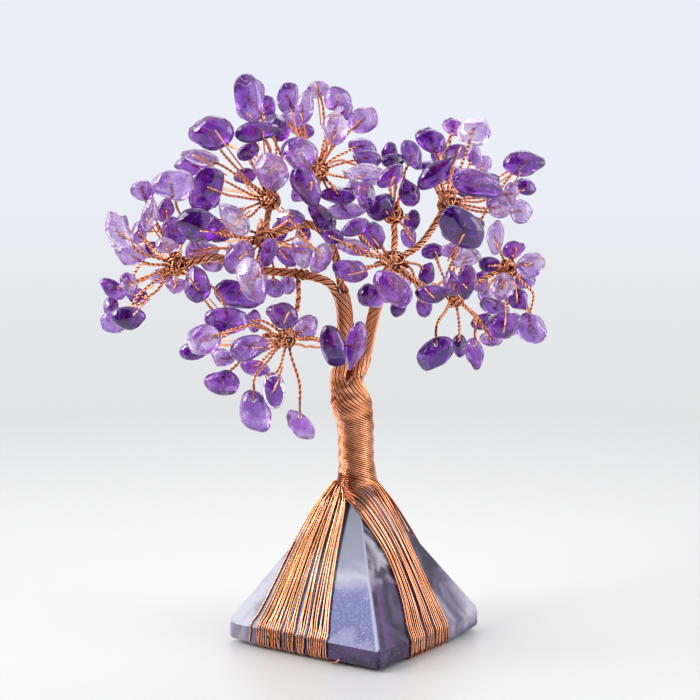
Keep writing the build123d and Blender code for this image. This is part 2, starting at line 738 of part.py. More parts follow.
def route(knot_name, chip, own, neighbours):
    """A twig's three points: on its knot, at its bend, and inside the chip that it carries."""
    middle, radius = numpy.array(tuple(knots[knot_name][0])), knots[knot_name][1]
    goal = numpy.array(tuple(chip.middle))
    axes = numpy.array([tuple(axis) for axis in chip.axes])
    half = twig_diameter / 2
    span = goal - middle
    reach = numpy.linalg.norm(span)
    bars = neighbours.bars_near(middle + span / 2, reach, knot_name)
    chips = neighbours.chips_near(middle + span / 2, reach, own)
    best, best_room = None, -math.inf
    for bend in bends(middle, span):
        into = unit(goal - bend)
        foot = middle + unit(bend - middle) * (radius + rope_gap)
        tip = goal + into * (chip.halves[2] * twig_end_share)
        entry = goal - into / numpy.linalg.norm(axes @ into / chip.halves)
        if (bend - entry) @ into > -twig_diameter:
            continue
        if numpy.linalg.norm(bend - middle) < radius + twig_diameter:
            continue
        points = run_samples([foot, bend, tip])
        margin = half + twig_gap
        room = min(room_to_chips(points, chips, margin), room_to_bars(points, bars, margin))
        if room > best_room:
            best, best_room = [Vector(*foot), Vector(*bend), Vector(*tip)], room
        if room > 0:
            return best
    print("tight twig:", knot_name, [round(part) for part in chip.middle], "room", round(float(best_room), 2))
    return best


def bored(stone, points):
    """The stone, drilled right through along the last run of its twig."""
    tip, bend = points[-1], points[-2]
    back = (bend - tip).normalized()
    reach = back * (Vector(stone.bounding_box().size).length + overrun)
    bore = tube([tip - reach, tip + reach], twig_diameter / 2 + bore_clearance, wire_sides)
    return (stone - bore).solid()


def pendant(row, hole_y_px, depth):
    """A pendant chip, the middle of its hole, straight above its weight, and the drilled stone."""
    chip = Chip(row, depth, 0, 1)
    stone = faceted(chip.rings())
    hole = Vector(stone.center().X, depth, seen_at(row[0], hole_y_px, depth).Z)
    drill = Cylinder(pendant_hole_radius, 2 * sum(chip.halves))
    drill = Plane(origin=hole, z_dir=Vector(0, 1, 0)) * drill
    return chip, hole, (stone - drill).solid()


def eye(hole, thickness, points):
    """A twig that ends in an open eye of single wire through a pendant chip's hole."""
    top = hole + Vector(0, 0, pendant_eye_rise)
    side = Vector(0, thickness / 2 + pendant_side_clearance + wire_diameter / 2, 0)
    shoulder = Vector(0, 0, pendant_eye_rise - pendant_eye_slope)
    ring = [top, hole - side + shoulder, hole - side, hole + side, hole + side + shoulder, top]
    twig = tube(list(reversed(points)), twig_diameter / 2, wire_sides, Vector(1, 0, 0))
    return (twig + tube(ring, wire_diameter / 2, wire_sides, Vector(1, 0, 0))).solid()


def crown_rows(name, middle_depth):
    """The rows of a knot's chips, with wanted depth, turn about their length and how they lie."""
    rows = []
    for row in chips_px[name]:
        depth = middle_depth + row[6] * chip_lie_depth_share * crown_depth
        rows.append((row, depth, row[6], dice.uniform(-chip_roll, chip_roll)))
    large = sorted(chips_px[name], key=lambda row: -row[2] * row[3])
    for row in large[: rear_chip_counts[name]]:
        small = (row[0], row[1], row[2] * rear_size_share, row[3] * rear_size_share, -row[4], row[5])
        depth = dice.uniform(*rear_depth_shares) * crown_depth
        rows.append((small, depth, 1, dice.uniform(-rear_roll, rear_roll)))
    return rows


def crown():
    """Every rope, knot, twig and chip of the crown, by node."""
    nodes = collections.defaultdict(list)
    neighbours = Neighbours()
    ropes = all_ropes()
    for name, (points, radius) in ropes.items():
        neighbours.add_bar(points, radius)
        nodes[name] = [tube(points, radius, rope_sides)]
    for name, (middle, radius) in knots.items():
        neighbours.add_bar([middle, middle + Vector(0, 0, wire_gap)], radius, name)
        nodes[f"{knot_sprays[name]}_knots"].append(knot(middle, radius))
    hung = []
    for name, (knot_name, row, hole_y_px) in pendants_px.items():
        chip, hole, stone = pendant(row, hole_y_px, pendant_depth_shares[name] * crown_depth)
        nodes[name] = [stone]
        neighbours.add_chip(chip, pendant_room)
        hung.append((name, knot_name, chip, hole))
        print(name, "hole at", [round(part, 3) for part in hole])
    wanted = [(name, *row) for name, (middle, _) in knots.items() for row in crown_rows(name, middle.Y)]
    wanted.sort(key=lambda entry: -abs(entry[3]))
    chips = []
    for index, (name, row, depth, lie, roll) in enumerate(wanted):
        chip = settled(row, depth, lie, roll, index % len(chip_outline_shares), neighbours)
        chips.append((name, row[5], chip))
    for name, knot_name, chip, hole in hung:
        top = hole + Vector(0, 0, pendant_eye_rise)
        neighbours.add_bar([hole, top], wire_diameter)
        points = route_to(*knots[knot_name], top)
        neighbours.add_bar(points, twig_diameter / 2)
        nodes[f"{knot_sprays[knot_name]}_twigs"].append(eye(hole, 2 * chip.halves[2], points))
    chips.sort(key=lambda entry: (entry[2].middle - knots[entry[0]][0]).length)
    for name, stone, chip in chips:
        points = route(name, chip, neighbours.chips.index(chip), neighbours)
        neighbours.add_bar(points, twig_diameter / 2)
        spray = knot_sprays[name]
        nodes[f"{spray}_twigs"].append(tube(list(reversed(points)), twig_diameter / 2, wire_sides))
        nodes[f"{spray}_{stone}_chips"].append(bored(faceted(chip.rings()), points))
    return nodes


stone_turn = pyramid_turn + math.degrees(math.pi / 4)
stone_lift = 2 * (wire_diameter + wire_gap)
foot_top = stone_lift + pyramid_foot_height
stone_top = foot_top + (pyramid_height - pyramid_foot_height) * (1 - pyramid_top_side / pyramid_side)
trunk_way = Vector(-math.sin(math.radians(trunk_lean)), 0, math.cos(math.radians(trunk_lean)))
trunk_foot = Vector(trunk_shift, 0, stone_top + wire_gap)
trunk_frame = Plane(origin=trunk_foot, x_dir=Vector(0, 1, 0).cross(trunk_way), z_dir=trunk_way)
crown_shift = trunk_foot + trunk_way * trunk_height - in_sight(*trunk_top_px, 0)
knots = {
    name: (seen_at(*knot_places_px[name], knot_depth_shares[name] * crown_depth), knot_radii[name])
    for name in knot_places_px
}


def main():
    os.makedirs("parts", exist_ok=True)
    save("pyramid_base", [pyramid_base()])
    save("trunk_core", [trunk_core()])
    save("trunk_winding", [trunk_winding()])
    front_right = math.radians(stone_turn) - math.pi / 2
    # The front right wires run on under the stone's middle, and the others stop short of it
    for index, name in enumerate(["front_right", "back_right", "back_left", "front_left"]):
        end_out = skirt_short_of_middle if index else -skirt_past_middle
        save(f"{name}_skirt", skirt(front_right + index * math.pi / 2, index % 2, end_out))
    for name, solids in crown().items():
        save(name, solids)


if __name__ == "__main__":
    main()
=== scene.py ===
"""A gemstone tree ornament: twisted copper wire, tumbled amethyst and a polished pyramid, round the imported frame."""

import json
import math
import random

import bmesh
import bpy
from mathutils import Matrix, Vector
from mathutils.bvhtree import BVHTree
from mathutils.kdtree import KDTree


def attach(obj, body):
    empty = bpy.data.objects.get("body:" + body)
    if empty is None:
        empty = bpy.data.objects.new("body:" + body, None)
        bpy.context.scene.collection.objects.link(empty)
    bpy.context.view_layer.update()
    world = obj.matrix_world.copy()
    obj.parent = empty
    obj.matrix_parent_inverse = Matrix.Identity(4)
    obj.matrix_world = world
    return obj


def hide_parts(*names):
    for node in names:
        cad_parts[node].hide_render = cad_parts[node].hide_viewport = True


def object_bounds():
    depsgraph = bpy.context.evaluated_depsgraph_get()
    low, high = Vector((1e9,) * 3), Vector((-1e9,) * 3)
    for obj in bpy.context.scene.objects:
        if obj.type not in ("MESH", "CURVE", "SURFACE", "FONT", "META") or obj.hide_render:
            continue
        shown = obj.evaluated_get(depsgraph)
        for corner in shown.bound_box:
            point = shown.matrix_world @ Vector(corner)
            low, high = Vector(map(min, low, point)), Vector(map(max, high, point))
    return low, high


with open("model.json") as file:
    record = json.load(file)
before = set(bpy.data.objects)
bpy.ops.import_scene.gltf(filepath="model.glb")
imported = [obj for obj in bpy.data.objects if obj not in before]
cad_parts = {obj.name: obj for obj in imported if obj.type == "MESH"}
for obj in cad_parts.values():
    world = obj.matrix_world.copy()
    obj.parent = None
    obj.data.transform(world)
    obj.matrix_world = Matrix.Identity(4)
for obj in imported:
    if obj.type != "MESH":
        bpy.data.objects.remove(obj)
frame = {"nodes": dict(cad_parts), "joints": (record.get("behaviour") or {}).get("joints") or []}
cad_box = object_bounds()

bl_info = {
    "name": "Gemstone Tree Ornament",
    "version": (1, 0, 0),
    "blender": (4, 5, 0),
    "location": "View3D > Sidebar > Ornament",
    "description": "Dresses the packed gemstone tree with twisted wire, tumbled stones and a polished pyramid",
    "category": "Add Mesh",
}

MM = 0.001
SPRAYS = ["west", "centre", "top", "lower_left", "right", "upper_right", "east"]
TONES = ["pale", "mid", "deep"]
LIMBS = [
    "main_limb", "right_limb", "left_limb", "upper_limb", "centre_branch", "high_right_branch",
    "upper_right_branch", "east_branch", "far_east_branch", "top_branch", "drop_branch",
]

# Each pendant's tone and the number of its stone's form, and where the hinge of each moving body is
PENDANTS = {
    "low_pendant": ("mid", 6), "left_pendant": ("pale", 7), "inner_pendant": ("deep", 0), "outer_pendant": ("mid", 2),
}
HINGES = {joint["child"]: Vector(joint["pos_m"]) for joint in frame["joints"]}

# From a pendant's hinge up to the top of its wire eye, and how near its hinge lies to a knot of its own spray
EYE_RISE = Vector((0, 0, 4.6 * MM))
EYE_REACH = 0.03

# In the frame's meshes, in metres: how near the corners of one solid lie, the smallest triangle that has a direction,
# and how far the triangles of one flat face may lie apart and, as a cosine, turn from one another
CAD_MERGE = 1e-6
LEAST_AREA = 1e-13
SAME_PLANE = 2e-6
SAME_TURN = 0.9999

# Sides of the CAD's round bars in the frame's meshes, and how many corners a twig's bar has at most
LIMB_SIDES = 8
TWIG_SIDES = 6
TWIG_CORNERS = 20

# Steps between the points of the wires, in metres
LIMB_STEP = 0.0007
SKIRT_STEP = 0.0009
CURL_STEP = 0.0004
EYE_STEP = 0.0006
LOOP_STEP = 0.0005
COLLAR_STEP = 0.00012
TWIG_BEND_STEP = 0.0028

# How far inside the CAD's box a wire stays, how near its corners are merged, and the angle up to which it is smooth
BOX_ROOM = 0.1 * MM
WIRE_MERGE = 1e-7
WIRE_ANGLE = math.radians(80)

# How far out from a knot's middle its wires take their painted shade from there, in its radii, and how much more
# painted shade a wire's lower side takes
KNOT_REACH = 1.6
SHADED_LOWER_SIDE = Vector((0, 0, 0.3))

# Share of the chips with a loop of wire over them, and of the twigs with another wire's end wound round them
LOOP_SHARE = 0.62
COLLAR_SHARE = 0.45

# How far the middle of a chip's loop stands off its stone
LOOP_LIFT = 0.42 * MM

# How strongly the smooth shading keeps to the large faces of the stones and of the pyramid
STONE_WEIGHT = 80
PYRAMID_WEIGHT = 100

# A pendant's drilled hole: the drill's radius and its length
HOLE_RADIUS = 0.55 * MM
DRILL_LENGTH = 16 * MM

# Width of a pair of wires in a limb with the gap beside it, in wires
PAIR_WIDTH = 2.42

# Where the photograph was taken from, in millimetres, the camera's pitch, and the view in dots of the photograph
EYE = Vector((-1.4, -455.2, 130.0))
EYE_PITCH = math.radians(6.4)
FOCAL_DOTS = 1700
MIDDLE_DOT = 350
SENSOR_WIDTH = 36

# The floor's side and how far out its colour reaches that of the backdrop, in metres, and where the lamps point
FLOOR_SIDE = 60
BACKDROP_REACH = 6
LAMP_AIM = Vector((0, 0, 0.08))

# Edges of the two front skirts in the photograph, from the trunk down to the foot's top edge: the outer wire's place
# and the inner wire's, how far the lowest wires stand off the face and how deep they lie over one another there, in
# millimetres
FRONT_LEFT_EDGES = [
    ((336, 478), (342, 487), 0.9, 1.9),
    ((326, 489.5), (346, 497), 0.7, 1.5),
    ((315, 503.5), (344.5, 510), 0.45, 1.1),
    ((291, 547), (337, 550), 0.3, 0.75),
    ((269, 594), (331, 592), 0.27, 0.4),
    ((256, 618), (328, 622), 0.27, 0.3),
    ((250, 628), (325.5, 642), 0.27, 0.25),
]
FRONT_RIGHT_EDGES = [
    ((377, 484), (339.5, 481), 1.0, 1.6),
    ((389, 500), (351, 503), 0.7, 1.2),
    ((403, 527), (372, 530), 0.4, 0.9),
    ((413, 551), (388, 556), 0.3, 0.6),
    ((436, 600), (403, 600), 0.27, 0.4),
    ((449, 627.5), (413, 642), 0.27, 0.3),
]

# How far before its face the right skirt's outer and inner wire stand at the rows where they come off the trunk
RIGHT_LEADS = {1: (6.5, -1.3), 2: (2.5, 0.0)}

# How far a skirt's wires stray sideways on their way, as a share of its width, on its upper rows and below them, and
# how near its edges they don't
UPPER_ROWS = 3
UPPER_STRAY = 0.045
LOWER_STRAY = 0.016
STRAIGHT_EDGE = 0.03

# How the skirts' wires lie side by side, as counts of wires between the wider gaps, and those gaps in wires
LEFT_GROUPS = [1, 11, 5, 4, 9]
RIGHT_GROUPS = [7, 4, 8]
GAP = 1.9
WIDE_GAP = 3.0

# The pyramid, in millimetres: half its side, how high it stands on the wires, where its foot band ends, where its
# sloping faces would meet and where its top is cut off, and which way each face looks, in degrees
HALF_SIDE = 25.0
LIFT = 1.06
FOOT_TOP = 5.46
POINT_HEIGHT = 46.16
STONE_TOP = 42.09
FACE_TURNS = {"front_right": -35, "back_right": 55, "back_left": 145, "front_left": 235}

# Where its front corner and its side rims are, and how far out its corners, in millimetres
FRONT_Y = -30
SIDE_X = 31.5
CORNER_REACH = 35

# How its edges are rounded, in turn: radius in millimetres, segments and sort of edge
ROUNDINGS = [(1.1, 3, "front_corner"), (2.2, 6, "corner"), (0.35, 3, "ridge"), (1.3, 5, "side_rim"), (0.3, 3, "rim")]

# The middle of the trunk's foot, in millimetres, and how far the trunk leans to the left
TRUNK_FOOT = Vector((0.6, 0, 42.12))
TRUNK_LEAN = math.radians(6)

# The trunk's wires, in millimetres: where every second one piles up, dives in and ends, where the others end, how far
# the two sorts lie apart from their even places, in wires, and the radius of the core under them, painted dark as shade
PILE_HEIGHT = 21.6
DIVE_HEIGHT = 19.6
DIVE_END = 17.5
FOOT_END = 0.4
STRAND_SHIFT = 0.12
SHADE_CORE_RADIUS = 4.15

# The trunk's outside, from its foot up: height, radius, the wires' slope in degrees and how far it bends to the right
TRUNK_FORM = [
    (0.0, 5.6, 27.0, 0.0),
    (1.6, 5.3, 25.0, 0.0),
    (3.4, 5.05, 24.0, 0.2),
    (8.0, 4.9, 22.5, 0.5),
    (13.0, 4.9, 22.0, 1.0),
    (15.7, 5.0, 22.5, 1.25),
    (18.5, 5.2, 27.0, 1.05),
    (21.5, 5.4, 38.0, 0.8),
    (24.0, 5.35, 52.0, 0.6),
    (25.6, 4.95, 61.0, 0.35),
    (27.4, 4.5, 70.0, 0.0),
]


class WireSizes(bpy.types.PropertyGroup):
    """Sizes of the wires"""

    thickness: bpy.props.FloatProperty(
        name="Wire", description="Thickness of a single wire in millimetres", default=0.47, min=0.3, max=0.8
    )
    pair_pitch: bpy.props.FloatProperty(
        name="Pair Pitch", description="Length of one turn of a twisted pair in millimetres", default=2.5, min=1.5,
        max=6,
    )
    lay: bpy.props.FloatProperty(
        name="Lay", description="Slope of the wires in a limb", default=math.radians(33), subtype="ANGLE"
    )
    trunk_strands: bpy.props.IntProperty(
        name="Trunk Wires", description="Wires that come down from the limbs into the trunk", default=48, min=24, max=90
    )
    knot_curls: bpy.props.IntProperty(
        name="Knot Curls", description="Loose loops of wire over each knot", default=14, min=0, max=40
    )


class StoneLooks(bpy.types.PropertyGroup):
    """Colours of the stones"""

    pale: bpy.props.FloatVectorProperty(
        name="Pale Stone", description="Colour of pale amethyst", subtype="COLOR", size=3, default=(0.45, 0.21, 0.73)
    )
    mid: bpy.props.FloatVectorProperty(
        name="Mid Stone", description="Colour of violet amethyst", subtype="COLOR", size=3, default=(0.36, 0.062, 0.61)
    )
    deep: bpy.props.FloatVectorProperty(
        name="Deep Stone", description="Colour of deep amethyst", subtype="COLOR", size=3, default=(0.17, 0.012, 0.38)
    )
    copper: bpy.props.FloatVectorProperty(
        name="Copper", description="Colour of the wire", subtype="COLOR", size=3, default=(1.0, 0.41, 0.22)
    )


class StageLooks(bpy.types.PropertyGroup):
    """The floor, the light and the camera"""

    floor: bpy.props.FloatVectorProperty(
        name="Floor", description="Colour of the floor", subtype="COLOR", size=3, default=(0.57, 0.57, 0.57)
    )
    key_power: bpy.props.FloatProperty(name="Lamps", description="Power of the lamps", default=1.6, min=0)
    room: bpy.props.FloatProperty(name="Room Light", description="Strength of the light all round", default=1.05, min=0)


# Helpers


def deselect():
    """Leaves nothing selected."""
    bpy.ops.object.select_all(action="DESELECT")


def mend(merge=None):
    """Merges near corners of the active piece, if asked, turns its faces outward and leaves edit mode."""
    bpy.ops.object.mode_set(mode="EDIT")
    bpy.ops.mesh.select_all(action="SELECT")
    if merge:
        bpy.ops.mesh.remove_doubles(threshold=merge)
    bpy.ops.mesh.normals_make_consistent(inside=False)
    bpy.ops.object.mode_set(mode="OBJECT")


def cut_mesh(place, way, off=True):
    """Cuts the mesh in edit mode with a plane and, if asked, takes off and closes what lies beyond it."""
    bpy.ops.mesh.select_all(action="SELECT")
    bpy.ops.mesh.bisect(plane_co=place, plane_no=way, use_fill=off, clear_outer=off)


def shade(piece, weight):
    """Smooth shading that keeps to the piece's large faces."""
    bpy.ops.object.shade_smooth()
    bpy.ops.object.modifier_add(type="WEIGHTED_NORMAL")
    piece.modifiers[-1].weight = weight
    bpy.ops.object.modifier_apply(modifier=piece.modifiers[-1].name)


def stray(dice, reach=1):
    """A random step, up to the reach each way."""
    return Vector([dice.uniform(-reach, reach) for _ in range(3)])


def part_roots(count, edges):
    """For each corner of a mesh, the first corner of its loose part."""
    owner = list(range(count))

    def root(index):
        while owner[index] != index:
            owner[index] = owner[owner[index]]
            index = owner[index]
        return index

    for one, other in edges:
        one, other = root(one), root(other)
        owner[max(one, other)] = min(one, other)
    return [root(index) for index in range(count)]


def loose_parts(node):
    """Each solid of a CAD node, from a merged copy: its corners' places and its faces by corner."""
    shape = bmesh.new()
    shape.from_mesh(frame["nodes"][node].data)
    bmesh.ops.remove_doubles(shape, verts=shape.verts, dist=CAD_MERGE)
    shape.verts.index_update()
    shape.verts.ensure_lookup_table()
    parts = {}
    edges = [[corner.index for corner in edge.verts] for edge in shape.edges]
    for index, root in enumerate(part_roots(len(shape.verts), edges)):
        parts.setdefault(root, []).append(index)
    found = []
    for group in parts.values():
        place = {index: order for order, index in enumerate(group)}
        faces = {face.index: face for index in group for face in shape.verts[index].link_faces}
        corners = [shape.verts[index].co.copy() for index in group]
        found.append((corners, [[place[v.index] for v in faces[key].verts] for key in sorted(faces)]))
    shape.free()
    return found


def flat_faces(corners, faces):
    """Groups of triangles that lie in one plane: normal, area and corners."""
    groups = []
    for face in faces:
        one, two, three = (corners[index] for index in face[:3])
        across = (two - one).cross(three - one)
        area = across.length / 2
        if area < LEAST_AREA:
            continue
        normal = across.normalized()
        for group in groups:
            if group[0].dot(normal) > SAME_TURN and abs((one - corners[group[2][0]]).dot(normal)) < SAME_PLANE:
                group[1] += area
                group[2].extend(face)
                break
        else:
            groups.append([normal, area, list(face)])
    return groups


def bar_way(corners, faces, sides):
    """The middles of a bar's rings, from one end to the other."""
    ends = [set(g[2]) for g in flat_faces(corners, faces) if len(set(g[2])) == sides]
    if len(ends) < 2:
        return None
    near = [set() for _ in corners]
    for face in faces:
        for index in face:
            near[index].update(face)
    ring, seen = ends[0], set(ends[0])
    way = []
    while ring:
        way.append(sum((corners[index] for index in sorted(ring)), Vector()) / len(ring))
        ring = set().union(*(near[index] for index in ring)) - seen
        seen |= ring
    return way


def smooth_lines(ways, step):
    """Points a step apart along a smooth line through each way of a few points."""
    curve = bpy.data.curves.new("ways", "CURVE")
    curve.dimensions = "3D"
    curve.resolution_u = 10
    for way in ways:
        spline = curve.splines.new("NURBS")
        spline.points.add(len(way) - 1)
        for point, place in zip(spline.points, way):
            point.co = (*place, 1)
        spline.order_u = 3
        spline.use_endpoint_u = True
    holder = bpy.data.objects.new("ways", curve)
    drawn = bpy.data.meshes.new_from_object(holder)
    nexts = {edge.vertices[0]: edge.vertices[1] for edge in drawn.edges}
    starts = sorted(set(nexts) - set(nexts.values()))
    lines = []
    for start in starts:
        line = [drawn.vertices[start].co.copy()]
        while start in nexts:
            start = nexts[start]
            line.append(drawn.vertices[start].co.copy())
        lines.append(evenly(line, step))
    bpy.data.objects.remove(holder)
    bpy.data.curves.remove(curve)
    bpy.data.meshes.remove(drawn)
    return lines


def evenly(line, step):
    """The same line with points a step apart."""
    marks = [0.0]
    for before, after in zip(line, line[1:]):
        marks.append(marks[-1] + (after - before).length)
    count = max(2, round(marks[-1] / step))
    points, index = [], 0
    for order in range(count + 1):
        mark = marks[-1] * order / count
        while index < len(line) - 2 and marks[index + 1] < mark:
            index += 1
        span = marks[index + 1] - marks[index]
        points.append(line[index].lerp(line[index + 1], (mark - marks[index]) / span if span else 0))
    return points


def strands(line, count, reach, pitch, turn, start=0.0):
    """The lines of wires that are twisted round a line of even points."""
    ways = [(after - before).normalized() for before, after in zip(line, line[1:])]
    ways.append(ways[-1])
    side = ways[0].orthogonal().normalized()
    lines = [[] for _ in range(count)]
    gone = 0.0
    for index, (point, way) in enumerate(zip(line, ways)):
        if index:
            gone += (point - line[index - 1]).length
            side = (side - way * side.dot(way)).normalized()
        beside = way.cross(side)
        for order, strand in enumerate(lines):
            angle = start + turn * 2 * math.pi * gone / pitch + 2 * math.pi * order / count
            strand.append(point + (side * math.cos(angle) + beside * math.sin(angle)) * reach)
    return lines


def wires(name, lines, radius, material, detail=1, away=None, groove=1.0, spread=0.4):
    """Round wires along lines, as one closed mesh that stays inside the CAD's box, with painted shade on the flanks
    that turn from the way out.
    """
    deselect()
    bpy.ops.curve.primitive_nurbs_path_add(location=(0, 0, 0))
    piece = bpy.context.object
    piece.name = name
    curve = piece.data
    curve.splines.clear()
    low, high = (Vector(corner) for corner in cad_box)
    room = Vector((1, 1, 0)) * (radius + BOX_ROOM)
    for line in lines:
        spline = curve.splines.new("POLY")
        spline.points.add(len(line) - 1)
        for point, place in zip(spline.points, line):
            held = [min(max(value, a), b) for value, a, b in zip(place, low + room, high - room)]
            point.co = (*held, 1)
    curve.twist_mode = "Z_UP"
    curve.bevel_depth = radius
    curve.bevel_resolution = detail
    curve.use_fill_caps = True
    bpy.ops.object.convert(target="MESH")
    piece = bpy.context.object
    tint_parts(piece, random.Random(name), spread)
    mend(WIRE_MERGE)
    bpy.ops.object.shade_smooth_by_angle(angle=WIRE_ANGLE)
    # Painted shade: the more a corner turns from the way out, toward its neighbours or the stone, the darker its colour
    if away:
        values = [groove * (1 - vertex.normal.dot(away(vertex.co))) for vertex in piece.data.vertices]
        piece.data.attributes.new("groove", "FLOAT", "POINT").data.foreach_set("value", values)
    piece.data.materials.clear()
    piece.data.materials.append(material)
    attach(piece, "tree")
    return piece


def from_middles(points, balls=()):
    """Gives the way out from the nearest of a bundle's middle points, or from the middle of a knot."""
    tree = KDTree(len(points))
    for index, point in enumerate(points):
        tree.insert(point, index)
    tree.balance()

    def away(place):
        middle = tree.find(place)[0]
        for ball, radius in balls:
            if (place - ball).length < KNOT_REACH * radius:
                middle = ball
        # The way out tilts upward, so the painted shade falls more on the wire's lower side
        return ((place - middle).normalized() + SHADED_LOWER_SIDE).normalized()

    return away


def tint_parts(piece, dice, spread):
    """Gives each loose part of a piece a tone of its own, between 0 and 1."""
    mesh = piece.data
    tones = {}
    values = []
    for root in part_roots(len(mesh.vertices), [edge.vertices for edge in mesh.edges]):
        # Every corner takes a draw, and the part keeps its first corner's
        values.append(tones.setdefault(root, 0.5 + spread * (dice.random() - 0.5)))
    mesh.attributes.new("tone", "FLOAT", "POINT").data.foreach_set("value", values)


def sight(x_dot, y_dot):
    """The direction in which a dot of the photograph lies."""
    side = (x_dot - MIDDLE_DOT) / FOCAL_DOTS
    rise = (MIDDLE_DOT - y_dot) / FOCAL_DOTS
    pitch = EYE_PITCH
    return Vector((side, math.cos(pitch) + rise * math.sin(pitch), rise * math.cos(pitch) - math.sin(pitch)))


def on_face(dot, out, off):
    """Where a dot of the photograph meets a plane that stands off one of the pyramid's sloping faces."""
    normal, level = face_plane(out)
    way = sight(*dot)
    return EYE + way * ((level + off - EYE.dot(normal)) / way.dot(normal))


def face_out(name):
    """The level direction in which a face of the pyramid looks, and the one along it."""
    turn = math.radians(FACE_TURNS[name])
    return Vector((math.cos(turn), math.sin(turn), 0)), Vector((-math.sin(turn), math.cos(turn), 0))


def face_points(name, steps):
    """Points by how far they lie out toward a face, along it and up."""
    out, beside = face_out(name)
    return [out * reach + beside * along + Vector((0, 0, height)) for reach, along, height in steps]


def face_plane(out):
    """A sloping face's normal and its distance from the origin along it."""
    slope = math.atan2(POINT_HEIGHT - FOOT_TOP, HALF_SIDE)
    normal = out * math.sin(slope) + Vector((0, 0, math.cos(slope)))
    return normal, POINT_HEIGHT * math.cos(slope)


def trunk_point(turn, height, radius):
    """A point by its turn round the trunk, its height along it and its distance from the middle."""
    up = Vector((-math.sin(TRUNK_LEAN), 0, math.cos(TRUNK_LEAN)))
    right = Vector((math.cos(TRUNK_LEAN), 0, math.sin(TRUNK_LEAN)))
    bend = trunk_form(height)[2]
    flat = right * (math.cos(turn) * radius + bend) + Vector((0, 1, 0)) * math.sin(turn) * radius
    return TRUNK_FOOT + up * height + flat


def trunk_form(height):
    """The trunk's radius, its wires' slope and its bend at a height."""
    for low, high in zip(TRUNK_FORM, TRUNK_FORM[1:]):
        if height <= high[0]:
            break
    share = min(max((height - low[0]) / (high[0] - low[0]), 0), 1)
    radius, slope, bend = (a + (b - a) * share for a, b in zip(low[1:], high[1:]))
    return radius, math.radians(slope), bend


def limb_line(name):
    """A limb's middle line, in metres, and its radius, in millimetres."""
    corners, faces = loose_parts(name)[0]
    way = bar_way(corners, faces, LIMB_SIDES)
    radius = min((corner - way[0]).length for corner in corners) / MM
    return smooth_lines([way], LIMB_STEP)[0], radius


# Materials

QUARTZ_IOR = 1.54

# Each tone's depths, lights and clouds, and how clear it is
AMETHYSTS = {
    "pale": ((0.29, 0.11, 0.56), (0.64, 0.45, 0.83), (0.80, 0.68, 0.91), 0.8),
    "mid": ((0.155, 0.02, 0.35), (0.53, 0.27, 0.77), (0.76, 0.63, 0.90), 0.85),
    "deep": ((0.06, 0.006, 0.18), (0.30, 0.07, 0.56), (0.48, 0.24, 0.76), 0.85),
}


class Graph:
    """The nodes of a material or of the world, with shorthand to add and join them."""

    def __init__(self, owner):
        owner.use_nodes = True
        self.nodes = owner.node_tree.nodes
        self.links = owner.node_tree.links

    def fill(self, node, inputs):
        """Gives sockets of a node what goes into them, each an output or a fixed value."""
        for key, source in inputs.items():
            socket = node.inputs[key]
            if isinstance(source, bpy.types.NodeSocket):
                self.links.new(source, socket)
            else:
                socket.default_value = (*source, 1) if socket.type == "RGBA" else source

    def add(self, sort, inputs, output, **settings):
        """Adds a node and gives one of its outputs."""
        node = self.nodes.new(f"ShaderNode{sort}")
        for key, value in settings.items():
            setattr(node, key, value)
        self.fill(node, inputs)
        return node.outputs[output]

    def attribute(self, name, output="Fac"):
        """An attribute of the mesh."""
        return self.add("Attribute", {}, output, attribute_name=name)

    def math(self, operation, *sources):
        """A sum on values."""
        return self.add("Math", dict(enumerate(sources)), "Value", operation=operation)

    def vector(self, operation, output, *sources):
        """A sum on vectors."""
        return self.add("VectorMath", dict(enumerate(sources)), output, operation=operation)

    def mix(self, share, one, two):
        """A mix of two colours."""
        return self.add("Mix", {"Factor": share, 6: one, 7: two}, 2, data_type="RGBA")

    def noise(self, scale, detail, distortion=0.0, offset=(0, 0, 0)):
        """A noise on object coordinates, in cells per metre."""
        place = self.add("TexCoord", {}, "Object")
        moved = self.add("Mapping", {"Location": offset, "Vector": place}, "Vector")
        inputs = {"Scale": scale, "Detail": detail, "Distortion": distortion, "Vector": moved}
        return self.add("TexNoise", inputs, "Fac")

    def ramp(self, source, *stops):
        """A colour ramp from a value, whose stops are each a mark with a colour or the lightness of a grey."""
        node = self.nodes.new("ShaderNodeValToRGB")
        band = node.color_ramp.elements
        while len(band) < len(stops):
            band.new(0.5)
        for element, (mark, colour) in zip(band, stops):
            element.position = mark
            element.color = (colour, colour, colour, 1) if isinstance(colour, (int, float)) else (*colour, 1)
        self.links.new(source, node.inputs["Fac"])
        return node.outputs["Color"]

    def seen(self):
        """1 for what the camera sees, through a clear stone as well, and 0 for light and reflections."""
        path = self.nodes.new("ShaderNodeLightPath").outputs
        return self.math("MAXIMUM", path["Is Camera Ray"], path["Is Transmission Ray"])

    def finish(self, output, share, one, two):
        """Sends a mix of two shaders to an output."""
        mixed = self.add("MixShader", {"Fac": share, 1: one, 2: two}, "Shader")
        self.fill(self.nodes[output], {"Surface": mixed})


def new_material(name):
    """An empty material, its nodes and its shader."""
    material = bpy.data.materials.new(name)
    graph = Graph(material)
    return material, graph, graph.nodes["Principled BSDF"]


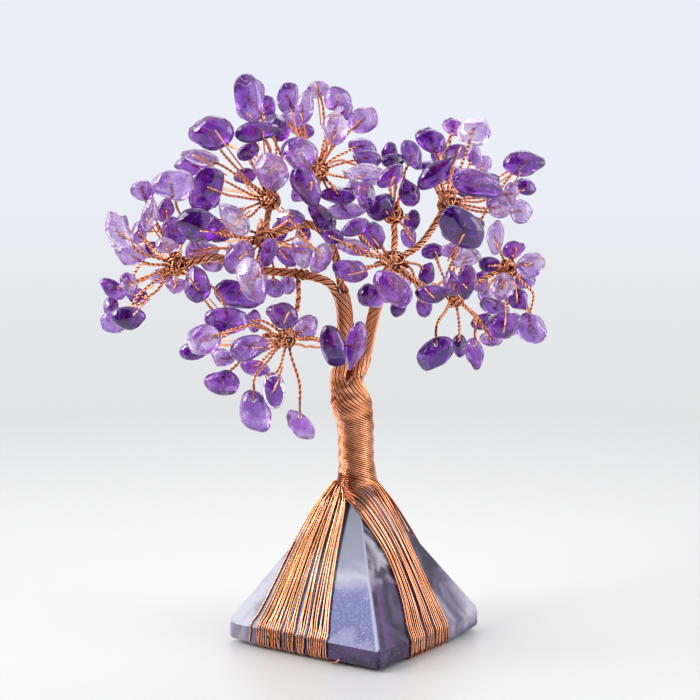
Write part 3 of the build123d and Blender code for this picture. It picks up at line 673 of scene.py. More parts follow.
def copper_material(name, colour, roughness, tarnish):
    """Bare copper wire, each run a little lighter or browner than the next, with painted shade, nearly black, in the
    grooves between wires and on their lower sides.
    """
    material, graph, shader = new_material(name)
    worn = graph.math("MULTIPLY_ADD", graph.attribute("tone"), 0.5, graph.noise(160, 1))
    dark = [part * (1 - tarnish) for part in colour]
    dark[2] *= 0.7
    light = [min(part * 1.05 + 0.07, 1) for part in colour]
    # The dark colour of the painted shade in the grooves between wires
    painted_shade_brown = (colour[0] * 0.2, colour[1] * 0.1, colour[2] * 0.06)
    bare = graph.ramp(worn, (0.48, dark), (0.7, colour), (0.92, light))
    # How much painted shade each corner takes
    share = graph.ramp(graph.attribute("groove"), (0.18, 0), (0.46, 0.88))
    graph.fill(shader, {
        "Base Color": graph.mix(share, bare, painted_shade_brown),
        "Metallic": 1.0,
        "Roughness": graph.ramp(worn, (0.5, roughness + 0.08), (0.95, roughness - 0.03)),
    })
    return material


def amethyst_material(name, deep, colour, light, cloud, clear):
    """Tumbled amethyst: colour in zones, pale clouds and veins inside, and a high polish."""
    material, graph, shader = new_material(name)
    zones = graph.math("MULTIPLY_ADD", graph.attribute("tone"), 0.22, graph.noise(125, 2.5, 0.7))
    body = graph.ramp(zones, (0.46, deep), (0.58, colour), (0.68, light), (0.8, cloud))
    veins = graph.noise(420, 6, 2.0, (0.4, 0.1, 0.7))
    haze = graph.noise(170, 3, 0.5, (0.7, 0.3, 0.2))
    wave = graph.noise(200, 2, 0.3, (0.2, 0.9, 0.1))
    graph.fill(shader, {
        "Base Color": graph.mix(graph.ramp(veins, (0.58, 0), (0.72, 0.55)), body, cloud),
        "Transmission Weight": graph.ramp(veins, (0.5, clear), (0.72, clear * 0.4)),
        "Roughness": graph.ramp(haze, (0.45, 0.02), (0.7, 0.2)),
        "IOR": QUARTZ_IOR,
        "Coat Weight": 0.55,
        "Coat Roughness": 0.03,
        "Normal": graph.add("Bump", {"Strength": 0.25, "Distance": 0.0008, "Height": wave}, "Normal"),
    })
    return material


def pyramid_material():
    """The pyramid's stone: milky violet, with a speckled blue window and dark depths beside the front edge."""
    material, graph, shader = new_material("polished_pyramid")
    parts = graph.add("SeparateXYZ", {"Vector": graph.attribute("place", "Vector")}, 0).node.outputs
    away, height, side = parts["X"], parts["Y"], parts["Z"]
    cloud = graph.noise(75, 5, 0.5)
    fine = graph.noise(1900, 3, 0.1)
    veil = graph.noise(120, 6, 1.2, (0.3, 0.6, 0.1))
    rise = graph.math("MULTIPLY_ADD", veil, 9.0, -4.5)
    level = graph.math("DIVIDE", graph.math("ADD", height, rise), 42.0)
    milky = graph.ramp(
        cloud, (0.38, (0.022, 0.016, 0.04)), (0.48, (0.085, 0.067, 0.135)), (0.57, (0.21, 0.185, 0.27)),
        (0.68, (0.42, 0.405, 0.48)),
    )
    outer = graph.ramp(away, (0.5, 0), (0.72, 1))
    specks = graph.ramp(fine, (0.52, 0), (0.72, 0.6))

    # Light face: pale above, white clouds across the middle, a speckled blue window below
    light_face = graph.ramp(
        level, (0.15, (0.15, 0.15, 0.32)), (0.20, (0.025, 0.035, 0.22)), (0.40, (0.045, 0.055, 0.26)),
        (0.50, (0.36, 0.355, 0.46)), (0.58, (0.155, 0.17, 0.27)), (0.8, (0.11, 0.12, 0.205)),
    )
    low_specks = graph.math("MULTIPLY", specks, graph.ramp(level, (0.42, 1), (0.52, 0)))
    light_face = graph.mix(low_specks, light_face, (0.34, 0.36, 0.62))
    light_face = graph.mix(graph.ramp(away, (0.015, 1), (0.03, 0)), light_face, (0.34, 0.35, 0.50))
    pale = graph.ramp(cloud, (0.4, (0.10, 0.09, 0.17)), (0.58, (0.42, 0.42, 0.51)))
    light_face = graph.mix(outer, light_face, pale)

    # Dark face: grey clouds above, nearly black violet below, with a lighter band beside the edge
    smoke = graph.ramp(veil, (0.42, (0.05, 0.04, 0.075)), (0.6, (0.42, 0.40, 0.48)))
    dark = graph.ramp(veil, (0.4, (0.018, 0.010, 0.035)), (0.65, (0.09, 0.06, 0.14)))
    high = graph.ramp(level, (0.44, 0), (0.56, 1))
    band = graph.ramp(away, (0.05, 0), (0.075, 0.8), (0.11, 0.45), (0.17, 0))
    low_band = graph.math("MULTIPLY", band, graph.math("SUBTRACT", 1, high))
    dark_face = graph.mix(low_band, graph.mix(high, dark, smoke), (0.11, 0.045, 0.19))
    dark_face = graph.mix(outer, dark_face, milky)

    # Foot band: dark violet with faint specks
    foot = graph.ramp(veil, (0.42, (0.012, 0.004, 0.028)), (0.62, (0.06, 0.025, 0.11)))
    foot = graph.mix(graph.math("MULTIPLY", specks, 0.5), foot, (0.22, 0.16, 0.34))
    foot = graph.mix(outer, foot, milky)

    # mark_places numbers the faces: 0 is the light one, 1 the dark one, 2 a back one and 3 the foot band
    colour = graph.mix(graph.math("LESS_THAN", side, 0.5), milky, light_face)
    colour = graph.mix(graph.math("COMPARE", side, 1.0, 0.5), colour, dark_face)
    colour = graph.mix(graph.math("GREATER_THAN", side, 2.5), colour, foot)
    graph.fill(shader, {"Base Color": colour, "Roughness": 0.07, "IOR": QUARTZ_IOR, "Specular IOR Level": 0.4})
    return material


def made(key, maker, *values):
    """A material that is made once and used again."""
    return bpy.data.materials.get(key) or maker(key, *values)


def copper():
    """The bare wire's material."""
    return made("bare_copper", copper_material, tuple(bpy.context.scene.stone_looks.copper), 0.16, 0.35)


def core_shade_copper():
    """The material of the wires inside a limb or the trunk, painted dark as their shade."""
    return made("shaded_copper", copper_material, (0.30, 0.09, 0.035), 0.45, 0.5)


def amethyst(tone):
    """The material of the pale, mid or deep stones."""
    colour = tuple(getattr(bpy.context.scene.stone_looks, tone))
    deep, light, cloud, clear = AMETHYSTS[tone]
    return made(f"tumbled_{tone}_stone", amethyst_material, deep, colour, light, cloud, clear)


# Tumbled stones: each form is modelled once, two units long, and copied on to the chips

# Each form's seed, how many flats are cut, the nearest of them, its taper and its bend in degrees
STONE_FORMS = [
    (3, 5, 0.74, 0.0, 0), (8, 4, 0.76, 0.45, 0), (15, 5, 0.76, -0.3, 24), (21, 6, 0.72, 0.2, 0),
    (34, 4, 0.78, 0.3, -28), (40, 5, 0.74, -0.15, 0), (52, 5, 0.74, 0.5, 10), (61, 4, 0.78, 0.1, 32),
]


def stone_form(number):
    """One tumbled stone, cut flat in places and worn smooth, that fills a box two units wide each way."""
    seed, cuts, nearest, narrowing, curve = STONE_FORMS[number]
    dice = random.Random(seed)
    deselect()
    bpy.ops.mesh.primitive_ico_sphere_add(subdivisions=2, radius=1, location=(0, 0, 0))
    stone = bpy.context.object
    stone.name = f"stone_form_{number}"
    bpy.ops.object.mode_set(mode="EDIT")
    bpy.ops.mesh.select_all(action="SELECT")
    bpy.ops.transform.vertex_random(offset=0.07, uniform=0.2, normal=0.6, seed=seed)
    for _ in range(cuts):
        way = stray(dice).normalized()
        cut_mesh(way * dice.uniform(nearest, 0.9), way)
    mend(0.06)
    for method, axis, setting, amount in (
        ("TAPER", "X", "factor", narrowing), ("BEND", "Z", "angle", math.radians(curve)),
    ):
        if amount:
            change = stone.modifiers.new(method, "SIMPLE_DEFORM")
            change.deform_method, change.deform_axis = method, axis
            setattr(change, setting, amount)
            bpy.ops.object.modifier_apply(modifier=method)
    worn = stone.modifiers.new("worn", "SUBSURF")
    worn.levels = worn.render_levels = 1
    bpy.ops.object.modifier_apply(modifier="worn")
    # A few flats stay on the worn stone
    bpy.ops.object.mode_set(mode="EDIT")
    for _ in range(3):
        way = Vector((dice.uniform(-0.9, 0.9), dice.uniform(-0.9, 0.9), dice.uniform(-0.5, 0.5))).normalized()
        far = max(vertex.co.dot(way) for vertex in bmesh.from_edit_mesh(stone.data).verts)
        cut_mesh(way * far * 0.86, way)
    mend(0.03)
    return stone


def chip_frame(corners, faces):
    """A chip's middle, its long, wide and thin directions, and half its size along each."""
    groups = flat_faces(corners, faces)
    best, thin = 0, Vector((0, 1, 0))
    for group in groups:
        area = sum(other[1] for other in groups if other[0].dot(group[0]) > 0.999)
        back = sum(other[1] for other in groups if other[0].dot(group[0]) < -0.999)
        if back and area + back > best:
            best, thin = area + back, group[0]
    flat = [corner - thin * corner.dot(thin) for corner in corners]
    pairs = [(one - other) for one in flat for other in flat]
    long = max(pairs, key=lambda span: span.length).normalized()
    if thin.y > 0:
        thin = -thin
    if long.x < 0:
        long = -long
    wide = thin.cross(long)
    middle, halves = Vector(), []
    for way in (long, wide, thin):
        reach = [corner.dot(way) for corner in corners]
        middle += way * ((max(reach) + min(reach)) / 2)
        halves.append((max(reach) - min(reach)) / 2)
    return middle, (long, wide, thin), halves


def drill_stone(stone, hole):
    """Drills a pendant's stone from front to back for its eye of wire."""
    deselect()
    bpy.ops.mesh.primitive_cylinder_add(
        vertices=16, radius=HOLE_RADIUS, depth=DRILL_LENGTH, location=hole, rotation=(math.pi / 2, 0, 0)
    )
    drill = bpy.context.object
    bpy.ops.object.transform_apply(location=True, rotation=True)
    bpy.context.view_layer.objects.active = stone
    cut = stone.modifiers.new("hole", "BOOLEAN")
    cut.operation, cut.solver, cut.object = "DIFFERENCE", "EXACT", drill
    bpy.ops.object.modifier_apply(modifier="hole")
    bpy.data.objects.remove(drill)


def chip_loop(stone, middle, halves, twigs, dice):
    """A twig's end of single wire that runs over the front of its stone and on into the stone."""
    way = min(twigs, key=lambda each: (each[-1] - middle).length)
    tree = BVHTree.FromPolygons([v.co for v in stone.data.vertices], [p.vertices[:] for p in stone.data.polygons])
    start = way[-2].lerp(way[-1], 0.1)
    for share in (0.3, 0.5, 0.7, 0.9):
        point = way[-2].lerp(way[-1], share)
        if (point - middle).length < halves[0] * 1.35:
            break
        start = point
    swerve = Vector((dice.uniform(-0.25, 0.25), 0, dice.uniform(-0.25, 0.25))) * halves[1] * 2
    end = middle + (start - middle) * dice.uniform(-0.1, 0.3) + swerve
    line = [start.lerp(way[-2], 0.35), start]
    for share in (0.2, 0.4, 0.6, 0.8, 1.0):
        point = start.lerp(end, share)
        hit = tree.ray_cast(Vector((point.x, middle.y - 0.03, point.z)), Vector((0, 1, 0)))[0]
        if hit:
            line.append(Vector((point.x, hit.y - LOOP_LIFT, point.z)))
    line.append(line[-1] + (end - start).normalized() * 0.4 * MM + Vector((0, 0.9 * MM, 0)))
    line.append(line[-1] + Vector((0, 0.8 * MM, 0)))
    return line


def stones(name, chips, forms, material, body, dice, twigs=None, loops=None, hole=None):
    """Tumbled stones in the places of CAD chips, joined to one piece."""
    copies = []
    for middle, ways, halves in chips:
        form = forms[dice.randrange(len(forms))]
        copy = bpy.data.objects.new(f"{name}_stone", form.data.copy())
        bpy.context.collection.objects.link(copy)
        places = [vertex.co for vertex in copy.data.vertices]
        lows = [min(place[axis] for place in places) for axis in range(3)]
        highs = [max(place[axis] for place in places) for axis in range(3)]
        flips = [dice.choice((-1, 1)) for _ in range(2)]
        flips.append(flips[0] * flips[1])
        for vertex in copy.data.vertices:
            point = middle.copy()
            for axis in range(3):
                share = (2 * vertex.co[axis] - lows[axis] - highs[axis]) / (highs[axis] - lows[axis])
                point += ways[axis] * (share * flips[axis] * halves[axis])
            vertex.co = [min(max(value, low), high) for value, low, high in zip(point, *cad_box)]
        tones = [dice.random()] * len(copy.data.polygons)
        copy.data.attributes.new("tone", "FLOAT", "FACE").data.foreach_set("value", tones)
        if hole is not None:
            drill_stone(copy, hole)
        if twigs and dice.random() < LOOP_SHARE:
            loops.append(chip_loop(copy, middle, halves, twigs, dice))
        copies.append(copy)
    deselect()
    for copy in copies:
        copy.select_set(True)
    bpy.context.view_layer.objects.active = copies[0]
    if len(copies) > 1:
        bpy.ops.object.join()
    piece = bpy.context.view_layer.objects.active
    piece.name = name
    mend()
    shade(piece, STONE_WEIGHT)
    piece.data.materials.clear()
    piece.data.materials.append(material)
    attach(piece, body)
    return piece


def twig_ways(spray, balls):
    """Each twig's few points from its knot to its chip, with the knot's middle and radius."""
    found = []
    for corners, faces in loose_parts(f"{spray}_twigs"):
        if len(corners) > TWIG_CORNERS:
            continue
        way = bar_way(corners, faces, TWIG_SIDES)
        if not way:
            continue
        middle, radius = min(
            balls, key=lambda ball: min(abs((end - ball[0]).length - ball[1]) for end in (way[0], way[-1]))
        )
        if abs((way[0] - middle).length - radius) > abs((way[-1] - middle).length - radius):
            way.reverse()
        found.append((way, middle, radius))
    return found


def knot_balls():
    """The middle and radius of every knot, by spray."""
    balls = {}
    for spray in SPRAYS:
        balls[spray] = []
        for corners, _ in loose_parts(f"{spray}_knots"):
            middle = sum(corners, Vector()) / len(corners)
            balls[spray].append((middle, (corners[0] - middle).length))
    return balls


# Operators


class ORNAMENT_OT_stage(bpy.types.Operator):
    """Lay the floor, hang the lamps and set up the camera"""

    bl_idname = "ornament.stage"
    bl_label = "Floor, Light and Camera"

    def execute(self, context):
        scene = context.scene
        looks = scene.stage_looks
        deselect()
        bpy.ops.mesh.primitive_plane_add(size=FLOOR_SIDE, location=(0, 0, 0))
        floor = context.object
        floor.name = "floor"
        floor.data.materials.append(self.floor_material(looks))
        scene.world = self.studio(looks)

        for name, place, size, power in (
            ("left_window", (-0.80, -0.10, 0.62), (0.8, 0.8), 5.0),
            ("left_pane", (-0.66, -0.40, 0.5), (0.16, 0.24), 1.1),
            ("right_window", (0.82, -0.20, 0.36), (0.6, 0.7), 2.6),
            ("back_window", (0.1, 0.45, 0.8), (0.6, 0.4), 1.2),
        ):
            bpy.ops.object.light_add(type="AREA", location=place)
            lamp = context.object
            lamp.name = name
            lamp.data.shape = "RECTANGLE"
            lamp.data.size, lamp.data.size_y = size
            lamp.data.energy = looks.key_power * power
            lamp.rotation_euler = (LAMP_AIM - Vector(place)).to_track_quat("-Z", "Y").to_euler()

        bpy.ops.object.camera_add(location=EYE * MM, rotation=(math.pi / 2 - EYE_PITCH, 0, 0))
        camera = context.object
        camera.name = "front_camera"
        camera.data.sensor_width = SENSOR_WIDTH
        camera.data.lens = SENSOR_WIDTH * FOCAL_DOTS / (2 * MIDDLE_DOT)
        camera.data.clip_start = 0.01
        camera.data.dof.use_dof = False
        scene.camera = camera
        scene.view_settings.view_transform = "Standard"
        return {"FINISHED"}

    def floor_material(self, looks):
        """A pale floor that runs on into the pale backdrop without an edge."""
        material, graph, shader = new_material("pale_floor")
        graph.fill(shader, {"Roughness": 0.32, "Specular IOR Level": 0.35, "Base Color": tuple(looks.floor)})
        reach = graph.vector("LENGTH", "Value", graph.add("TexCoord", {}, "Object"))
        far = graph.math("DIVIDE", reach, BACKDROP_REACH)
        wall = graph.ramp(
            far, (0.03, (0.745, 0.75, 0.755)), (0.12, (0.775, 0.79, 0.81)), (0.35, (0.81, 0.835, 0.885)),
            (0.9, (0.825, 0.855, 0.92)),
        )
        share = graph.math("MULTIPLY", graph.seen(), graph.ramp(far, (0.012, 0), (0.07, 1)))
        backdrop = graph.add("Emission", {"Color": wall}, "Emission")
        graph.finish("Material Output", share, shader.outputs["BSDF"], backdrop)
        return material

    def studio(self, looks):
        """A room that is pale all round and dark where the photographer stands, with a pale backdrop."""
        world = bpy.data.worlds.new("studio")
        graph = Graph(world)
        way = graph.vector("MULTIPLY", "Vector", graph.add("TexCoord", {}, "Generated"), (1, 1, 0.25))
        photographer = Vector((-0.50, -0.87, 0)).normalized()
        toward = graph.vector("DOT_PRODUCT", "Value", graph.vector("NORMALIZE", "Vector", way), photographer)
        colour = graph.ramp(
            toward, (0.0, (0.97, 0.98, 1.0)), (0.70, (1.0, 0.97, 0.95)), (0.82, (0.28, 0.25, 0.25)),
            (0.90, (0.03, 0.02, 0.02)),
        )
        light = graph.nodes["Background"]
        graph.fill(light, {"Color": colour, "Strength": looks.room})
        backdrop = graph.add("Background", {"Color": (0.83, 0.86, 0.93), "Strength": 1.0}, "Background")
        graph.finish("World Output", graph.seen(), light.outputs["Background"], backdrop)
        return world


class ORNAMENT_OT_pyramid(bpy.types.Operator):
    """Cut and polish the pyramid"""

    bl_idname = "ornament.pyramid"
    bl_label = "Pyramid"

    def execute(self, context):
        deselect()
        turn = math.radians(FACE_TURNS["front_right"])
        bpy.ops.mesh.primitive_cube_add(size=2 * HALF_SIDE * MM, location=(0, 0, 0), rotation=(0, 0, turn))
        stone = context.object
        stone.name = "polished_pyramid"
        bpy.ops.object.transform_apply(rotation=True)
        for vertex in stone.data.vertices:
            vertex.co.z = (LIFT if vertex.co.z < 0 else FOOT_TOP) * MM
        bpy.ops.object.mode_set(mode="EDIT")
        bpy.ops.mesh.select_mode(type="FACE")
        bpy.ops.mesh.select_all(action="DESELECT")
        shape = bmesh.from_edit_mesh(stone.data)
        for face in shape.faces:
            face.select = face.normal.z > 0.9
        bmesh.update_edit_mesh(stone.data)
        bpy.ops.mesh.extrude_region_move(TRANSFORM_OT_translate={"value": (0, 0, (STONE_TOP - FOOT_TOP) * MM)})
        narrow = (POINT_HEIGHT - STONE_TOP) / (POINT_HEIGHT - FOOT_TOP)
        bpy.ops.transform.resize(value=(narrow, narrow, 1), center_override=(0, 0, 0))
        bpy.ops.mesh.select_mode(type="EDGE")
        for radius, steps, sort in ROUNDINGS:
            shape = bmesh.from_edit_mesh(stone.data)
            for edge in shape.edges:
                edge.select = self.is_sort(edge, sort)
            bmesh.update_edit_mesh(stone.data)
            bpy.ops.mesh.bevel(offset=radius * MM, segments=steps, affect="EDGES", clamp_overlap=True)
        # Level cuts keep the marks of mark_places true on the tapered faces
        for level in range(8, 42, 3):
            cut_mesh(Vector((0, 0, level * MM)), Vector((0, 0, 1)), False)
        mend(CAD_MERGE)
        shade(stone, PYRAMID_WEIGHT)
        self.mark_places(stone.data)
        stone.data.materials.clear()
        stone.data.materials.append(pyramid_material())
        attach(stone, "tree")
        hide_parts("pyramid_base")
        return {"FINISHED"}

    def is_sort(self, edge, sort):
        """Whether an edge is of a sort that ROUNDINGS names."""
        one, two = (corner.co for corner in edge.verts)
        rise = abs(one.z - two.z) / MM
        level = (one.z + two.z) / 2 / MM
        if sort == "ridge":
            turns = [face.normal.dot(other.normal) for face in edge.link_faces for other in edge.link_faces]
            return rise > 20 and min(turns) < 0.9
        if sort in ("front_corner", "corner"):
            steep = rise > 0.5 * edge.calc_length() / MM
            upright = steep and level < FOOT_TOP and (one - two).xy.length < 0.2 * MM
            front = one.y < FRONT_Y * MM
            return upright and (front if sort == "front_corner" else not front and one.xy.length > CORNER_REACH * MM)
        rim = rise < 0.4 and level < FOOT_TOP + 1 and edge.calc_face_angle(0) > 0.4
        return rim and (sort == "rim" or min(abs(one.x), abs(two.x)) > SIDE_X * MM)

    def mark_places(self, mesh):
        """Notes at each corner how far it lies from the front edge, its height and which face it is on."""
        marks = mesh.attributes.new("place", "FLOAT_VECTOR", "CORNER")
        names = ["front_left", "front_right", "back_right", "back_left"]
        for polygon in mesh.polygons:
            flat = Vector((polygon.normal.x, polygon.normal.y, 0))
            if flat.length < 0.01:
                flat = Vector((0, 1, 0))
            number = max(range(4), key=lambda order: face_out(names[order])[0].dot(flat))
            _, beside = face_out(names[number])
            foot = polygon.normal.z < 0.3
            if number == 1:
                beside = -beside
            for corner in polygon.loop_indices:
                point = mesh.vertices[mesh.loops[corner].vertex_index].co / MM
                wide = HALF_SIDE * min((POINT_HEIGHT - point.z) / (POINT_HEIGHT - FOOT_TOP), 1)
                away = (wide - point.dot(beside)) / (2 * wide) if number < 2 else 0.9
                kind = 3 if foot else min(number, 2)
                marks.data[corner].vector = (min(max(away, 0), 1), point.z, kind)


class ORNAMENT_OT_trunk(bpy.types.Operator):
    """Wind the trunk's wires"""

    bl_idname = "ornament.trunk"
    bl_label = "Trunk"

    def execute(self, context):
        sizes = context.scene.wire_sizes
        half = sizes.thickness / 2
        top = TRUNK_FORM[-1][0]
        up = trunk_point(0, 1, 0) - trunk_point(0, 0, 0)
        limbs = []
        for name in ("main_limb", "right_limb"):
            line, radius = limb_line(name)
            line = [point / MM for point in line]
            limbs.append(([(point, (point - TRUNK_FOOT).dot(up)) for point in line], radius))
        lines = []
        for order in range(sizes.trunk_strands):
            dives = order % 2
            turn = 2 * math.pi * (order - (STRAND_SHIFT if dives else -STRAND_SHIFT)) / sizes.trunk_strands
            line = self.above(turn, top, limbs, half) + self.below(turn, top, dives, sizes.thickness)
            lines.append([point * MM for point in line])
        shade_core = [trunk_point(0, step * 0.9 + 0.2, 0) for step in range(30)]
        middles = [point * MM for point in shade_core]
        middles += [point * MM for way, _ in limbs for point, rise in way if rise > top]
        piece = wires("trunk_wires", lines, half * 0.95 * MM, copper(), away=from_middles(middles), detail=2)
        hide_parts("trunk_winding")
        # A core painted dark as shade shows in the gaps between the wires
        piece = wires("trunk_heart", [[point * MM for point in shade_core]], SHADE_CORE_RADIUS * MM, core_shade_copper(), detail=6)
        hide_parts("trunk_core")
        return {"FINISHED"}

    def above(self, turn, top, limbs, half):
        """A wire's way down the limb that it comes from to the trunk's top."""
        radius, _, _ = trunk_form(top)
        half_share = math.pi * limbs[1][1] / (limbs[0][1] + limbs[1][1])
        bearing = (turn + math.pi) % (2 * math.pi) - math.pi
        right = abs(bearing) < half_share
        way, limb_radius = limbs[right]
        if right:
            around = bearing * math.pi / half_share
        else:
            around = math.pi + (turn - math.pi) * math.pi / (math.pi - half_share)
        line = []
        for rise in (8.0, 6.6, 5.4, 4.3, 3.3, 2.4, 1.6, 0.9, 0.3):
            share = min(rise / 6.5, 1)
            share = share * share * (3 - 2 * share)
            middle = min(way, key=lambda pair: abs(pair[1] - top - rise))[0]
            tuck = 0.5 * max(rise - 5.0, 0) / 3
            lean = rise * 0.16
            flat = Vector((math.cos(around - lean), math.sin(around - lean), 0))
            own = middle + flat * (limb_radius + half * 0.9 - tuck)
            line.append(trunk_point(turn - lean * 0.6, top + rise, radius - half).lerp(own, share))
        return line

    def below(self, turn, height, dives, thickness):
        """A wire's way round the trunk: it stays outside down to the foot, or piles up over the others and dives in."""
        half = thickness / 2
        line = []
        while height > (DIVE_END if dives else FOOT_END):
            radius, slope, _ = trunk_form(height)
            radius += 0.12 * math.sin(1.7 * height + 1.4 * math.sin(turn))
            sink = 0
            if dives:
                pile = max(1 - abs(height - PILE_HEIGHT) / 2.2, 0)
                sink = min(max((DIVE_HEIGHT - height) / 1.4, 0), 1) * thickness * 1.3 - 0.24 * pile
            line.append(trunk_point(turn, height, radius - half - sink))
            step = 0.55 * math.sin(slope) if slope < 0.6 else 0.4
            height -= step
            turn += step / math.tan(slope) / radius
        if not dives:
            line.append(trunk_point(turn + 0.15, height - 0.3, radius - half - 0.5))
        return line


class ORNAMENT_OT_skirts(bpy.types.Operator):
    """Run the wires down over the pyramid's four faces and in under it"""

    bl_idname = "ornament.skirts"
    bl_label = "Skirts"

    def execute(self, context):
        sizes = context.scene.wire_sizes
        for name, back_name, edges, groups, layer in (
            ("front_left", "back_right", FRONT_LEFT_EDGES, LEFT_GROUPS, 1),
            ("front_right", "back_left", FRONT_RIGHT_EDGES, RIGHT_GROUPS, 0),
        ):
            marks = []
            for order, count in enumerate(groups):
                start = marks[-1] + (WIDE_GAP if order == 1 and layer else GAP) if marks else 0.0
                marks.extend(start + each for each in range(count))
            last = len(marks) - 1
            for side, half_turn in ((name, 0.0), (back_name, math.pi)):
                dice = random.Random(f"{name} wires")
                ways = []
                for order, mark in enumerate(marks):
                    below = 0 if layer else order % 2
                    shares = (order / last, mark / marks[-1], order / last - below / last)
                    ways.append(self.way(sizes, name, edges, shares, below, layer, half_turn, dice))
                if layer:
                    ways.append(self.curl(half_turn))
                # These wires take a weaker painted shade in their grooves
                piece = wires(
                    f"{side}_wires", smooth_lines(ways, SKIRT_STEP), sizes.thickness * 0.48 * MM, copper(),
                    away=self.off_stone(name, half_turn), groove=0.6, spread=1.0,
                )
                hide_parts(f"{side}_skirt")
        return {"FINISHED"}

    def off_stone(self, name, half_turn):
        """Gives the way out from the stone under a wire, which sets where the wire's painted shade falls."""
        out, _ = face_out(name)
        turn = Matrix.Rotation(half_turn, 3, "Z")
        flat, face = turn @ out, turn @ (out * 0.83 + Vector((0, 0, 0.55)))
        return lambda place: face if place.z > FOOT_TOP * MM else flat if place.z > 1.2 * MM else Vector((0, 0, -1))

    def way(self, sizes, name, edges, shares, below, layer, half_turn, dice):
        """One wire's way from inside the trunk over the face and the foot band and in under the stone.

        Its shares of the way from the outer wire to the inner one are those at the trunk, on the face and round it.
        """
        even, share, lane = shares
        out, beside = face_out(name)
        half = sizes.thickness / 2
        stack = dice.random() * (STRAIGHT_EDGE < share)
        way = []
        sway = 0.0
        for row, (outer, inner, off, depth) in enumerate(edges):
            last = row == len(edges) - 1
            blur = UPPER_STRAY if row < UPPER_ROWS else LOWER_STRAY
            sway = 0.5 * sway + blur * dice.uniform(-1, 1) * (STRAIGHT_EDGE < share < 1 - STRAIGHT_EDGE)
            spread = min(max(row - 1, 0) / 3, 1)
            mix = min(max(even + (share - even) * spread + (0 if last else sway), 0), 1)
            dot = [o + (i - o) * mix for o, i in zip(outer, inner)]
            place = on_face(dot, out, off + depth * stack)
            if row in RIGHT_LEADS and not layer:
                first, final = RIGHT_LEADS[row]
                place += (EYE - place).normalized() * (first + (final - first) * mix)
            way.append(place)
        foot = way.pop()
        edge = HALF_SIDE + half + 0.04 + 0.22 * stack
        low = half + layer * (sizes.thickness + 0.03)
        side = foot.dot(beside)
        slip = side + dice.uniform(-0.35, 0.35)
        turn = Matrix.Rotation(half_turn, 3, "Z")
        steps = [
            (edge - 1.05, side, FOOT_TOP + 2.05), (edge - 0.2, side, FOOT_TOP + 0.62),
            (edge + 0.04, side, FOOT_TOP - 0.4), (edge + 0.04, side, 3.6), (edge + 0.02, slip, 1.9),
            (edge - 0.2, slip, low + 0.35), (edge - 1.3, slip, low), (edge - 4, slip * 0.98, low),
            (6, slip * 0.9, low),
        ]
        way = [turn @ point for point in way + face_points(name, steps)]
        if layer:
            start = [
                trunk_point(math.radians(-140 - 30 * share) + half_turn, 3.4, 2.4),
                trunk_point(math.radians(-160 + 30 * share) + half_turn, 1.6 - stack, 3.8 + stack),
            ]
        else:
            # These wires come round the trunk's left side and fall to the right across its front
            start = [trunk_point(math.radians(-222) + half_turn, 5.0 - 4.2 * lane, 4.3)]
            for step, drop in ((0.0, 0.0), (0.27, 0.4), (0.55, 1.3), (0.8, 2.6), (1.0, 3.8)):
                left = 1 - lane - (even - lane) * step
                if step * left or not step:
                    turned = math.radians(-180 + 158 * left * step) + half_turn
                    height = 4.3 - 4.9 * (1 - left) - drop * left
                    start.append(trunk_point(turned, height, 5.35 + 0.55 * step ** 0.5 - 0.45 * below * (1 - step)))
            del way[0]
        return [point * MM for point in start + way]

    def curl(self, half_turn):
        """The cut end that curls out below the inner edge of the front left skirt."""
        turn = Matrix.Rotation(half_turn, 3, "Z")
        steps = [
            (24.0, 9.2, 0.8), (25.5, 9.3, 1.0), (25.7, 10.2, 0.75), (25.9, 11.4, 0.7), (26.0, 12.5, 1.3),
            (25.8, 13.2, 2.0),
        ]
        return [(turn @ point) * MM for point in face_points("front_left", steps)]


class ORNAMENT_OT_limbs(bpy.types.Operator):
    """Twist the limbs and branches from strands of wire"""

    bl_idname = "ornament.limbs"
    bl_label = "Limbs"

    def execute(self, context):
        sizes = context.scene.wire_sizes
        half = sizes.thickness / 2
        for name in LIMBS:
            line, radius = limb_line(name)
            reach = radius - half
            # The wires lie side by side in pairs, with a dark gap between one pair and the next
            around = 2 * math.pi * reach * math.cos(sizes.lay)
            pairs = max(2, round(around / sizes.thickness / PAIR_WIDTH))
            pitch = 2 * math.pi * reach / math.tan(sizes.lay)
            turn = -1 if name in ("main_limb", "left_limb") else 1
            close = sizes.thickness / around * math.pi
            lines = strands(line, pairs, reach * MM, pitch * MM, turn, -close)
            lines += strands(line, pairs, (reach + 0.05) * MM, pitch * MM, turn, close)
            if name == "drop_branch":
                # Its wires start with a turn round the limb that they leave
                limb, limb_radius = limb_line("left_limb")
                near = min(range(len(limb)), key=lambda index: (limb[index] - line[0]).length)
                held = evenly(limb[near - 3:near + 3], CURL_STEP)
                lines += strands(held, 3, (limb_radius + half * 0.8) * MM, 4.5 * MM, 1)
            piece = wires(f"{name}_wires", lines, half * MM, copper(), away=from_middles(line))
            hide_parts(name)
            # A core painted dark as shade shows in the gaps between the wires
            wires(f"{name}_heart", [line], (reach - half * 0.7) * MM, core_shade_copper(), detail=4)
        return {"FINISHED"}


